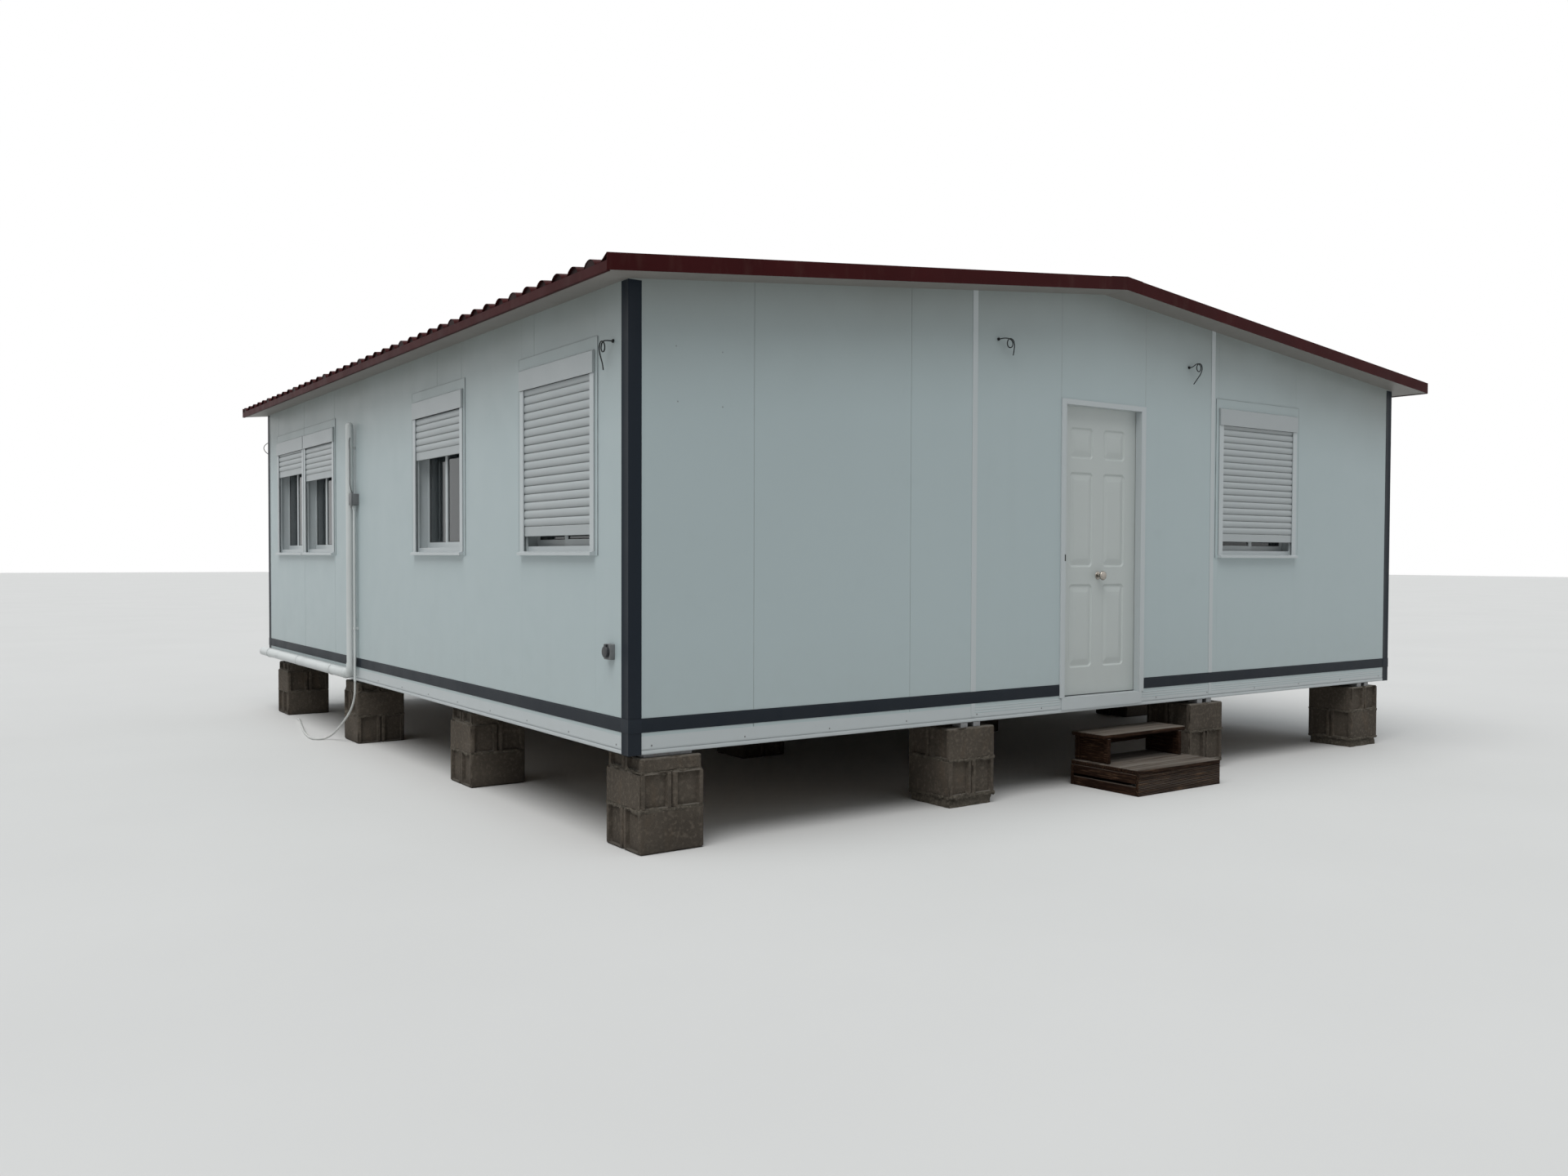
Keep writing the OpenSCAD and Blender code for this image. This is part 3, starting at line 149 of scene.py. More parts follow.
class Shader:
    """A node material in the making, kept in MATERIAL by its name."""

    def __init__(self, name, color, roughness, metallic=0.0, specular=0.5):
        made = MATERIAL[name] = bpy.data.materials.new(name)
        made.use_nodes = True
        self.tree = made.node_tree
        self.surface = self.tree.nodes["Principled BSDF"]
        self.set({"Base Color": (*color, 1), "Roughness": roughness, "Metallic": metallic,
                  "Specular IOR Level": specular})
        self.color = color
        self.place = self.node("TexCoord")["Object"]
        self.bumps = None

    def set(self, inputs):
        feed(self.tree, self.surface, inputs)

    def node(self, kind, inputs=(), **settings):
        return add_node(self.tree, kind, inputs, **settings)

    def noise(self, scale, detail=3, stretch=(1, 1, 1), roughness=0.5):
        spot = self.node("Mapping", {"Vector": self.place, "Scale": stretch})[0]
        return self.node("TexNoise", {
            "Vector": spot, "Scale": scale, "Detail": detail, "Roughness": roughness,
        })["Fac"]

    def ramp(self, value, low, high):
        """value spread over 0 to 1 between low and high."""
        return self.node("MapRange", {"Value": value, "From Min": low, "From Max": high})[0]

    def spots(self, low, high, *texture):
        """Noise spread over 0 to 1 between low and high."""
        return self.ramp(self.noise(*texture), low, high)

    def math(self, operation, a, b):
        return self.node("Math", {0: a, 1: b}, operation=operation)[0]

    def times(self, a, b):
        return self.math("MULTIPLY", a, b)

    def part(self, vector, axis):
        return self.node("SeparateXYZ", {0: vector})[axis]

    def height(self):
        return self.part(self.place, "Z")

    def below_roof(self):
        """How far a wall's surface lies below the roof's lining, which rises to the ridge."""
        drop = self.times(self.math("ABSOLUTE", self.part(self.place, "X"), 0), SLOPE)
        ridge = EAVE_Z - GROUND + SLOPE * (WIDTH / 2 + EAVE_OUT)
        return self.math("SUBTRACT", ridge, self.math("ADD", drop, self.height()))

    def facing(self, low, high):
        """How far the surface's normal points up, spread over 0 to 1 between low and high."""
        return self.ramp(self.part(self.node("NewGeometry")["Normal"], "Z"), low, high)

    def mix(self, amount, color, share=None):
        """Blends a colour, or a share of it, into the base colour where amount is 1."""
        if share:
            amount = self.times(amount, share)
        base = self.surface.inputs["Base Color"]
        under = base.links[0].from_socket if base.is_linked else (*self.color, 1)
        # A colour mix has its factor at 0, its two colours at 6 and 7 and its result at 2
        mixed = self.node("Mix", {0: amount, 6: under, 7: (*color, 1)}, data_type="RGBA")[2]
        self.set({"Base Color": mixed})

    def shade(self, amount, factor, share=None):
        """Blends in the material's own colour times factor."""
        self.mix(amount, tuple(min(1, c * factor) for c in self.color), share)

    def rough(self, value, low, high):
        made = self.node("MapRange", {"Value": value, "To Min": low, "To Max": high})[0]
        self.set({"Roughness": made})

    def bump(self, value, depth):
        """Raises the surface by up to depth metres where value is 1."""
        under = {"Normal": self.bumps} if self.bumps else {}
        inputs = {"Height": value, "Distance": depth, "Strength": 1.0, **under}
        self.bumps = self.node("Bump", inputs)["Normal"]
        self.set({"Normal": self.bumps})
        return self


def coated_sheet(name, color, roughness, dirt=0.5, relief=0.0009, specular=0.5, eaves=0, under=0):
    """Coated steel: faint blotches and rain streaks, grime low down, a slight ripple.

    eaves is how much painted shade, with some grime, darkens the wall below the eaves,
    under how much painted shade darkens faces turned down.
    """
    s = Shader(name, color, roughness, specular=specular)
    s.shade(s.spots(0.35, 0.75, 0.9, 4), 0.88, 0.3 * dirt)
    s.shade(s.spots(0.58, 0.82, 6, 4, (1, 1, 0.05)), 0.74, 0.16 * dirt)
    s.shade(s.spots(0.60, 0.78, 3.1, 6, (1, 1, 1), 0.62), 0.80, 0.3 * dirt)
    low = s.times(s.ramp(s.height(), 1.15, 0.62), s.noise(11, 5))
    s.mix(low, (0.26, 0.24, 0.20), 0.3 * dirt)
    s.rough(s.noise(5, 4), roughness - 0.07, roughness + 0.12)
    s.bump(s.noise(1.6, 2), relief).bump(s.noise(420, 2), 0.00005)
    # Painted shade below the eaves, with some grime mixed in: darker and greener towards the roof
    if eaves:
        near = s.math("POWER", s.ramp(s.below_roof(), 0.8, 0.0), 1.5)
        uneven = s.spots(-0.9, 0.7, 1.3, 5)
        s.mix(near, (0.19, 0.20, 0.18), s.times(uneven, eaves))
    # Painted shade on faces turned down, as under light from above
    if under:
        s.shade(s.facing(0.15, -0.6), 0.45, under)


def timber(name, stretch, pale=0.35):
    """Weathered dark boards, grained along the stretched axis, grey on top and pale in spots."""
    s = Shader(name, (0.015, 0.0074, 0.0048), 0.8, specular=0.05)
    grain = s.noise(75, 6, stretch, 0.7)
    s.mix(s.ramp(grain, 0.46, 0.74), (0.046, 0.022, 0.0128))
    s.mix(s.spots(0.5, 0.75, 9, 5, stretch), (0.012, 0.0078, 0.006), 0.7)
    worn = s.times(s.facing(0.3, 0.9), s.spots(0.28, 0.62, 14, 6, stretch, 0.65))
    s.mix(worn, (0.185, 0.167, 0.145), 0.85)
    lines = s.times(s.spots(0.52, 0.66, 150, 3, stretch), s.spots(0.35, 0.65, 9, 4))
    s.mix(lines, (0.17, 0.105, 0.064), pale)
    s.bump(grain, 0.0026).bump(s.noise(240, 3, stretch), 0.0006)


# Plain materials: colour, roughness and specular; the blotches' noise, range and factor on the
# colour; the relief's noise and depth
PLAIN = {
    "floor_board": ((0.26, 0.19, 0.12), 0.6, 0.5, (3, 6, (1, 8, 8)), (0.3, 0.7), 0.7,
                    (60, 4, (0.2, 1, 1)), 0.0004),
    "pipe_plastic": ((0.575, 0.605, 0.600), 0.36, 0.5, (4, 5, (1, 1, 0.3)), (0.45, 0.8), 0.84,
                     (90, 2), 0.0001),
    "box_plastic": ((0.150, 0.158, 0.162), 0.48, 0.5, (20, 4), (0.35, 0.7), 0.8, (700, 2), 0.0001),
    "lid_plastic": ((0.016, 0.018, 0.021), 0.4, 0.5, (30, 4), (0.35, 0.7), 1.4, (700, 2), 0.0001),
    "cable_black": ((0.006, 0.0065, 0.0075), 0.5, 0.2, (60, 3), (0.4, 0.7), 1.8, (600, 2), 0.0001),
    "hose_plastic": ((0.55, 0.56, 0.54), 0.42, 0.5, (14, 4), (0.4, 0.75), 0.8, (250, 2), 0.0002),
    # Black of the panes' gaskets, and painted shade in gaps and slots
    "gap_shade_and_gasket_black": ((0.010, 0.010, 0.011), 0.8, 0.5, (50, 3), (0, 1), 1.8, (300, 3), 0.0003),
    "shadow_line": ((0.20, 0.22, 0.225), 0.6, 0.5, (9, 4), (0.35, 0.7), 1.6, (120, 3), 0.0002),
    "sealant": ((0.30, 0.32, 0.32), 0.6, 0.5, (9, 4), (0.35, 0.7), 0.6, (120, 3), 0.0002),
}


def make_materials():
    coated_sheet("white_panel", (0.414, 0.490, 0.501), 0.42, eaves=0.75)
    # The lining is white; its darker, warmer grey is painted shade under the roof
    coated_sheet("shaded_roof_lining", (0.215, 0.203, 0.186), 0.5, 0.4)
    coated_sheet("frame_white", (0.485, 0.525, 0.535), 0.36, 0.3, 0.0002)
    # The shutters' slats get painted shade on their faces turned down
    coated_sheet("shutter_white", (0.425, 0.460, 0.468), 0.42, 0.5, 0.0002, under=0.7)
    coated_sheet("door_white", (0.490, 0.528, 0.515), 0.38, 0.5, 0.0003)
    coated_sheet("anthracite_trim", (0.0088, 0.0138, 0.0210), 0.46, 0.1, 0.0005, 0.15)
    timber("old_timber", (0.06, 1, 1))
    timber("old_timber_side", (1, 0.06, 1))
    timber("grooved_timber", (0.03, 1, 1.6), 0.75)

    for name, color in (("roof_red", (0.034, 0.0050, 0.0055)),
                        ("roof_faded", (0.090, 0.040, 0.037)),
                        ("roof_shadow", (0.015, 0.006, 0.006))):
        s = Shader(name, color, 0.5, specular=0.06)
        s.shade(s.spots(0.3, 0.8, 2.2, 5), 1.45)
        s.mix(s.spots(0.55, 0.8, 16, 4, (1, 1, 0.3)), (0.10, 0.055, 0.045), 0.2)
        s.rough(s.noise(6, 4), 0.40, 0.62)
        s.bump(s.noise(2.5, 2), 0.001).bump(s.noise(300, 2), 0.0001)

    s = Shader("galvanised", (0.24, 0.245, 0.25), 0.45, 0.6)
    s.shade(s.spots(0.3, 0.7, 60, 2), 0.75)
    s.mix(s.spots(0.58, 0.75, 9, 6), (0.20, 0.10, 0.05), 0.5)
    s.rough(s.noise(30, 3), 0.35, 0.6)
    s.bump(s.noise(80, 3), 0.0002)

    s = Shader("satin_metal", (0.40, 0.37, 0.33), 0.28, 1.0)
    s.shade(s.spots(0.3, 0.7, 40, 3), 0.8)
    s.rough(s.noise(120, 3), 0.18, 0.36)
    s.bump(s.noise(500, 2, (1, 1, 8)), 0.00004)

    s = Shader("window_glass", (0.16, 0.19, 0.205), 0.02)
    s.set({"Transmission Weight": 0.9, "IOR": 1.36})
    s.rough(s.spots(0.45, 0.8, 3, 4), 0.015, 0.08)

    s = Shader("concrete_block", (0.102, 0.086, 0.069), 0.93, specular=0.15)
    s.shade(s.spots(0.3, 0.7, 3.2, 5), 0.62)
    s.shade(s.spots(0.5, 0.7, 45, 5), 1.5, 0.6)
    s.shade(s.spots(0.6, 0.72, 220, 2), 0.35)
    s.mix(s.spots(0.55, 0.72, 7, 6, (1, 1, 0.5), 0.6), (0.120, 0.088, 0.061), 0.45)
    s.mix(s.facing(0.3, 0.9), (0.16, 0.15, 0.13), 0.6)
    s.mix(s.ramp(s.height(), 0.09, 0.0), (0.050, 0.043, 0.036), 0.6)
    s.bump(s.noise(60, 6), 0.0028).bump(s.noise(260, 4), 0.0013)

    s = Shader("mortar", (0.110, 0.096, 0.077), 0.95, specular=0.15)
    s.shade(s.spots(0.3, 0.7, 14, 5), 0.55)
    s.shade(s.spots(0.5, 0.7, 60, 5), 1.7, 0.7)
    s.bump(s.noise(70, 6), 0.003)

    for name, (color, roughness, specular, blotches, limits, factor, grain, depth) in PLAIN.items():
        s = Shader(name, color, roughness, specular=specular)
        s.shade(s.spots(*limits, *blotches), factor)
        s.bump(s.noise(*grain), depth)


make_materials()

# Cords: each tail's length, and its route point by point in millimetres of the cabin's frame

TAILS = {
    "left": (0.399, [
        (-8, 172, 2226), (-22, 172, 2226), (-36, 181, 2227), (-43, 205, 2226),
        (-43, 228, 2214), (-44, 232, 2190), (-45, 216, 2171), (-47, 192, 2172),
        (-50, 177, 2192), (-53, 186, 2216), (-54, 210, 2225), (-53, 234, 2207),
        (-50, 240, 2176), (-45, 234, 2142), (-39, 227, 2108), (-35, 224, 2074),
    ]),
    "front_1": (0.378, [
        (2715, -8, 2492), (2715, -22, 2492), (2723, -36, 2494), (2748, -44, 2496),
        (2776, -43, 2494), (2799, -44, 2481), (2802, -45, 2454), (2782, -46, 2438),
        (2756, -48, 2445), (2748, -51, 2471), (2763, -54, 2492), (2790, -55, 2490),
        (2808, -54, 2463), (2812, -48, 2426), (2810, -42, 2390),
    ]),
    "front_2": (0.455, [
        (4690, -8, 2484), (4690, -21, 2484), (4696, -35, 2490), (4718, -45, 2507),
        (4748, -43, 2512), (4770, -44, 2497), (4771, -45, 2471), (4750, -46, 2455),
        (4725, -48, 2464), (4718, -51, 2490), (4734, -54, 2510), (4760, -55, 2508),
        (4776, -54, 2481), (4766, -51, 2444), (4732, -46, 2400), (4696, -41, 2358),
    ]),
    "back": (0.219, [
        (40, 8011, 2262), (40, 8028, 2262), (28, 8044, 2260), (3, 8055, 2247),
        (-20, 8059, 2226), (-31, 8060, 2197), (-20, 8058, 2166), (0, 8056, 2145),
        (22, 8053, 2130),
    ]),
}
HOSE_ROUTE = [
    (-30, 4836, 0), (-30, 4836, -55), (-31, 4841, -108), (-34, 4854, -158),
    (-39, 4877, -206), (-46, 4911, -252), (-54, 4956, -296), (-63, 5008, -338),
    (-73, 5062, -378), (-84, 5119, -418), (-97, 5175, -456), (-113, 5224, -488),
    (-137, 5261, -513), (-172, 5278, -528), (-208, 5286, -530), (-238, 5310, -530),
    (-253, 5356, -530), (-253, 5426, -530), (-244, 5526, -530), (-229, 5648, -530),
    (-208, 5778, -530), (-184, 5912, -530), (-157, 6050, -530), (-129, 6188, -530),
    (-101, 6326, -530), (-73, 6462, -530), (-46, 6596, -530), (-22, 6708, -530),
    (-14, 6790, -530),
]
CABLE_D = 0.007
HOSE_D = 0.019
HOSE_LENGTH = 2.342
# Length of a curve's handles as a share of the stretch beside them
HANDLE_SHARE = 0.36


def route_point(point):
    return at(*(c * MM for c in point))


def make_curve(name, route, diameter, material):
    """A round lead through a route in millimetres of the cabin's frame."""
    points = [route_point(p) for p in route]
    curve = bpy.data.curves.new(name, "CURVE")
    curve.dimensions = "3D"
    curve.bevel_depth = diameter / 2
    curve.bevel_resolution = 4
    curve.resolution_u = 6
    curve.use_fill_caps = True
    spline = curve.splines.new("BEZIER")
    last = len(points) - 1
    spline.bezier_points.add(last)
    for i, (knot, p) in enumerate(zip(spline.bezier_points, points)):
        back, ahead = p - points[max(i - 1, 0)], points[min(i + 1, last)] - p
        along = back + ahead
        if 0 < i < last:
            # Along the circle through three points, and level beside a level stretch
            along = back.normalized() * ahead.length + ahead.normalized() * back.length
            along = Vector([a if b * c else 0 for a, b, c in zip(along, back, ahead)])
        along.normalize()
        knot.handle_left_type = knot.handle_right_type = "FREE"
        knot.co = p
        knot.handle_left = p - along * back.length * HANDLE_SHARE
        knot.handle_right = p + along * ahead.length * HANDLE_SHARE
    curve.materials.append(MATERIAL[material])
    made = add_object(name, curve)
    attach(made, BODY)
    return made


def make_cord(name, node, route, diameter, length, material):
    cord = make_curve(name, route, diameter, material)
    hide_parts(node)
    tuple(route_point(route[0]))


for tail, (length, route) in TAILS.items():
    make_cord("loose_cable_" + tail, "cable_tail_" + tail, route, CABLE_D, length,
              "cable_black")
make_cord("loose_hose", "hose", HOSE_ROUTE, HOSE_D, HOSE_LENGTH, "hose_plastic")

# Meshes

QUAD = ((0, 0), (1, 0), (1, 1), (0, 1))


class Shape:
    """A mesh in the making, from closed solids that don't share vertices."""

    def __init__(self):
        self.verts = []
        self.faces = []

    def add(self, verts, faces):
        start = len(self.verts)
        self.verts.extend(verts)
        self.faces.extend(tuple(start + i for i in face) for face in faces)

    def rings(self, rings, closed=False):
        """Skins rings of as many points each, with a cap on each end."""
        n = len(rings[0])
        starts = range(0, n * len(rings), n)
        nexts = [*starts[1:], 0] if closed else starts[1:]
        faces = [(a + k, a + (k + 1) % n, b + (k + 1) % n, b + k)
                 for a, b in zip(starts, nexts) for k in range(n)]
        if not closed:
            faces += [range(n - 1, -1, -1), range(starts[-1], starts[-1] + n)]
        self.add([p for ring in rings for p in ring], faces)

    def box(self, place, us, ds, zs):
        """A straight strip of a wall between two values of each of u, d and z."""
        self.rings([[place(us[a], ds[b], z) for a, b in QUAD] for z in zs])

    def prism(self, outline, stations, place):
        """Pushes an outline of (d, z) points along a wall, or one of (y, h) up the roof."""
        self.rings([[place(u, d, z) for d, z in outline] for u in stations])

    def lathe(self, outline, foot, axis, sides):
        """Turns an outline of (radius, height) points round an axis from a foot."""
        axis = Vector(axis).normalized()
        a = axis.orthogonal().normalized()
        b = axis.cross(a)
        self.rings([
            [foot + axis * h + (a * cos(t) + b * sin(t)) * r for t in circle(sides)]
            for r, h in outline
        ])

    def lattice(self, xs, ys, zs, move):
        """A closed box with faces gridded by the given lines, each point moved."""
        lines = (xs, ys, zs)
        index = {}
        faces = []
        for a, b, c in ((0, 1, 2), (1, 2, 0), (2, 0, 1)):
            for end in (0, len(lines[c]) - 1):
                for p in range(len(lines[a]) - 1):
                    for q in range(len(lines[b]) - 1):
                        face = []
                        for dp, dq in QUAD:
                            key = [end] * 3
                            key[a], key[b] = p + dp, q + dq
                            face.append(index.setdefault(tuple(key), len(index)))
                        faces.append(face)
        self.add([move(*(line[k] for line, k in zip(lines, key))) for key in index], faces)

    def make(self, name, material, body=BODY, slot=None, sharp=35, replaces=None, bevel=0):
        mesh = bpy.data.meshes.new(name)
        mesh.from_pydata([tuple(v) for v in self.verts], [], self.faces)
        mesh.update()
        made = add_object(name, mesh)
        face_outwards(mesh)
        mesh.shade_smooth()
        mesh.set_sharp_from_angle(angle=radians(sharp))
        mesh.materials.append(MATERIAL[material])
        if bevel:
            add_bevel(made, bevel)
        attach(made, body)
        if replaces:
            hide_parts(replaces)


def face_outwards(mesh):
    """Turns every closed solid's faces outwards."""
    grid = bmesh.new()
    grid.from_mesh(mesh)
    bmesh.ops.recalc_face_normals(grid, faces=grid.faces)
    grid.to_mesh(mesh)
    grid.free()


def circle(sides):
    return [2 * pi * k / sides for k in range(sides)]


def add_bevel(piece, width):
    bevel = piece.modifiers.new("edges", "BEVEL")
    bevel.width = width
    bevel.segments = 2
    bevel.limit_method = "ANGLE"
    bevel.angle_limit = radians(35)
    bevel.harden_normals = True


def screw_head(shape, foot, axis, radius, height):
    shape.lathe([
        (radius * 1.5, 0), (radius * 1.5, height * 0.25), (radius, height * 0.3),
        (radius, height * 0.85), (radius * 0.8, height),
    ], foot, axis, 8)


def spread(start, end, step):
    """Stations from start to end, evenly apart and near a step."""
    count = max(1, round((end - start) / step))
    return [start + (end - start) * i / count for i in range(count + 1)]


# Roof

def roof_point(side):
    """A place on a slope: s in from the eaves, y along them, h over the panels."""
    def place(s, y, h):
        x = -EAVE_OUT + s
        return at(x if side == "left" else WIDTH - x, y, EAVE_Z + ROOF_T + SLOPE * s + h)
    return place


def rib_section(start, end, lift):
    """Heights of the ribbed sheet's face from start to end along the eaves."""
    points = [(start, lift)]
    first = ceil((start + RIB_W / 2) / RIB_PITCH - 1e-6)
    last = floor((end - RIB_W / 2) / RIB_PITCH + 1e-6)
    for i in range(first, last + 1):
        for k in range(RIB_STEPS + 1):
            a = pi * k / RIB_STEPS
            y = i * RIB_PITCH - (RIB_W / 2 - RIB_FOOT * sin(a)) * cos(a)
            points.append((y, lift + RIB_H * sin(a) ** 0.9))
    points.append((end, lift))
    return points


def make_roof():
    y_from, y_to = (edge[1] - CORNER.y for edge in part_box("roof_panels"))
    run = WIDTH / 2 + EAVE_OUT - 0.012
    lap = RIB_W / 2 + 0.006
    sheets_across = ceil(LENGTH)
    for side in ("left", "right"):
        place = roof_point(side)
        sheets, laps, rib_shades, screws = (Shape() for _ in range(4))
        for k in range(sheets_across):
            start = k - lap if k else y_from
            end = y_to if k == sheets_across - 1 else k + 1 + lap
            upper = rib_section(start, end, 0.0022 + 0.0009 * (k % 2))
            outline = upper + [(y, h - SHEET_T) for y, h in reversed(upper)]
            sheets.prism(outline, spread(0, run, 0.65), place)
            if k:
                laps.box(place, (0.002, run), (k - lap - 0.001, k - lap + 0.007), (0.0018, 0.0042))
        sheets.make("roof_sheets_" + side, "roof_red", replaces="roof_sheet_" + side)
        laps.make("roof_laps_" + side, "roof_faded", slot="roof_red")
        for i in range(int(LENGTH / RIB_PITCH) + 1):
            y = i * RIB_PITCH
            # Dark arches set into the ribs' open ends: painted shade in the hollow ribs
            arch = [(y - (RIB_W / 2 - 0.003) * cos(a), 0.0008 + (RIB_H - 0.002) * sin(a))
                    for a in (pi * k / 12 for k in range(13))]
            deep = 0.004 if i % 5 == 0 else 0.014
            rib_shades.prism(arch, (deep, deep + 0.01), place)
            if i % 2 == 0:
                for s in ROOF_SCREW_ROWS:
                    screw_head(screws, place(s, y, RIB_H + 0.002), (0, 0, 1), 0.006, 0.006)
        rib_shades.make("rib_end_shades_" + side, "roof_shadow", slot="roof_red")
        screws.make("roof_screws_" + side, "galvanised")


make_roof()

# Roller shutters

SLAT_PITCH = 0.05
SLAT_BULGE = 0.008
SLAT_T = 0.007
RAIL_H = 0.06
SILL_Z = 1.07
SILL_TOP = 1.095
BOX_Z = 2.083
BOX_TOP = 2.21
HALF_W = 0.5047
HALF_CURTAIN = 0.487
SLAT_STEPS = 12
SLAT_BACK = SLAT_BULGE / 2 + SLAT_T
SIDE_TRIM = 0.034
GASKET_W = 0.004
HEAD_TOP = 2.281
# A window's middle, and the height that its shutter hangs down to
SIDE_WINDOWS = ((0.895, 1.186), (2.890, 1.774), (6.030, 1.770), (7.060, 1.855))
FRONT_WINDOW = (5.565, 1.195)
EVERY_WINDOW = [(front_side, FRONT_WINDOW[0])] + [
    (place, middle) for middle, _ in SIDE_WINDOWS for place in (left_side, right_side)
]


def slat_section(foot):
    """One slat in section, from its foot: the bulging face, then the flat back."""
    top = foot + SLAT_PITCH - 0.0012
    points = []
    for k in range(SLAT_STEPS + 1):
        a = pi * k / SLAT_STEPS
        points.append((SLAT_BULGE * (0.68 - 1.18 * sin(a) ** 0.7),
                       foot + (top - foot) * (1 - cos(a)) / 2))
    points.extend([
        (SLAT_BACK - 0.0045, top), (SLAT_BACK - 0.0045, top + 0.004),
        (SLAT_BACK - 0.0025, top + 0.004), (SLAT_BACK - 0.0025, top),
        (SLAT_BACK, top), (SLAT_BACK, foot),
    ])
    return points


def make_shutter(node, place, windows, name):
    curtain = Shape()
    for middle, foot in windows:
        ends = (middle - HALF_CURTAIN, middle + HALF_CURTAIN)
        rail_top = foot + RAIL_H - 0.001
        curtain.prism([
            (-0.001, foot + 0.002), (0.001, foot), (SLAT_BACK, foot), (SLAT_BACK, rail_top),
            (0.001, rail_top), (-0.001, rail_top - 0.003),
        ], ends, place)
        z = foot + RAIL_H
        while z < BOX_Z:
            curtain.prism(slat_section(z), ends, place)
            z += SLAT_PITCH
    curtain.make(name, "shutter_white", replaces=node, sharp=28)


for number, window in enumerate(SIDE_WINDOWS, 1):
    make_shutter(f"left_shutter_{number}", left_side, [window], f"left_curtain_{number}")
make_shutter("right_shutters", right_side, SIDE_WINDOWS, "right_curtains")
make_shutter("front_shutter", front_side, [FRONT_WINDOW], "front_curtain")


def trim_reach(place, middle, side):
    """How far a window's outer trim reaches past its guide, less where two windows meet."""
    for other, _ in SIDE_WINDOWS:
        if place is not front_side and 0 < side * (other - middle) < 1.2:
            return abs(other - middle) / 2 - HALF_W - 0.001
    return SIDE_TRIM


def make_gaskets_and_shade_lines():
    """Painted shade lines by the guides, under the boxes and at the trims' edges,
    and dark gaskets round the panes of the sashes.
    """
    beads, panes, edges = (Shape() for _ in range(3))
    for place, middle in EVERY_WINDOW:
        for side in (-1, 1):
            # Painted shade in the crease between each guide and its trim
            u = middle + side * (HALF_W + 0.0004)
            beads.box(place, (u - 0.0009, u + 0.0009), (-0.0052, -0.0002),
                      (SILL_TOP, BOX_TOP - 0.001))
            u = middle + side * (HALF_W + trim_reach(place, middle, side))
            edges.box(place, (u - 0.0012, u + 0.0012), (-0.0046, -0.0001),
                      (SILL_Z + 0.001, HEAD_TOP))
        # Painted shade in the slot under the box
        beads.box(place, (middle - HALF_W, middle + HALF_W), (-0.0125, -0.0002),
                  (BOX_Z - 0.0006, BOX_Z + 0.0012))
        for z, half in ((HEAD_TOP - 0.0010, HALF_W + 0.03), (BOX_TOP - 0.0004, HALF_W)):
            edges.box(place, (middle - half, middle + half), (-0.0050, -0.0001), (z, z + 0.0020))
        for side, depth in ((-1, 0.072), (1, 0.0945)):
            ends = sorted((middle + side * 0.0205, middle + side * 0.4335))
            low, high = SILL_TOP + 0.0705, BOX_Z - 0.0705
            deep = (depth - 0.001, depth + 0.006)
            for z in (low, high - GASKET_W):
                panes.box(place, ends, deep, (z, z + GASKET_W))
            for u in (ends[0], ends[1] - GASKET_W):
                panes.box(place, (u, u + GASKET_W), deep, (low, high))
    beads.make("window_shade_lines", "gap_shade_and_gasket_black", slot="cable_black")
    edges.make("trim_shadows", "shadow_line", slot="frame_white")
    panes.make("pane_gaskets", "gap_shade_and_gasket_black", slot="cable_black")


make_gaskets_and_shade_lines()

# Trims, bands and the skirt

WALLS = ((front_side, WIDTH), (back_side, WIDTH), (left_side, LENGTH), (right_side, LENGTH))
CORNER_LEG = 0.077
TRIM_TOP = 2.53
BAND_Z = 0.12
BAND_TOP = 0.197
# The outside of the door's lining, and its head
DOOR_EDGES = (3.3195, 4.2005)
DOOR_HEAD = 2.156
# Joints between the gables' panels, and between the side walls' with the height each starts at
GABLE_JOINTS = (0.8, 1.97)
SIDE_JOINTS = (
    (1.21, HEAD_TOP), (2.42, BAND_TOP), (2.90, HEAD_TOP), (5.52, BAND_TOP), (6.545, BAND_TOP),
    (7.54, HEAD_TOP),
)
GABLE_SCREWS = ((0.29, 2.206), (0.587, 2.20), (0.30, 1.907), (0.588, 1.897))
SWAGES_U = ((2.53, 3.33), (4.19, 4.96), (5.01, WIDTH - 0.08))
SWAGES_Z = (0.056, 0.073, 0.090)


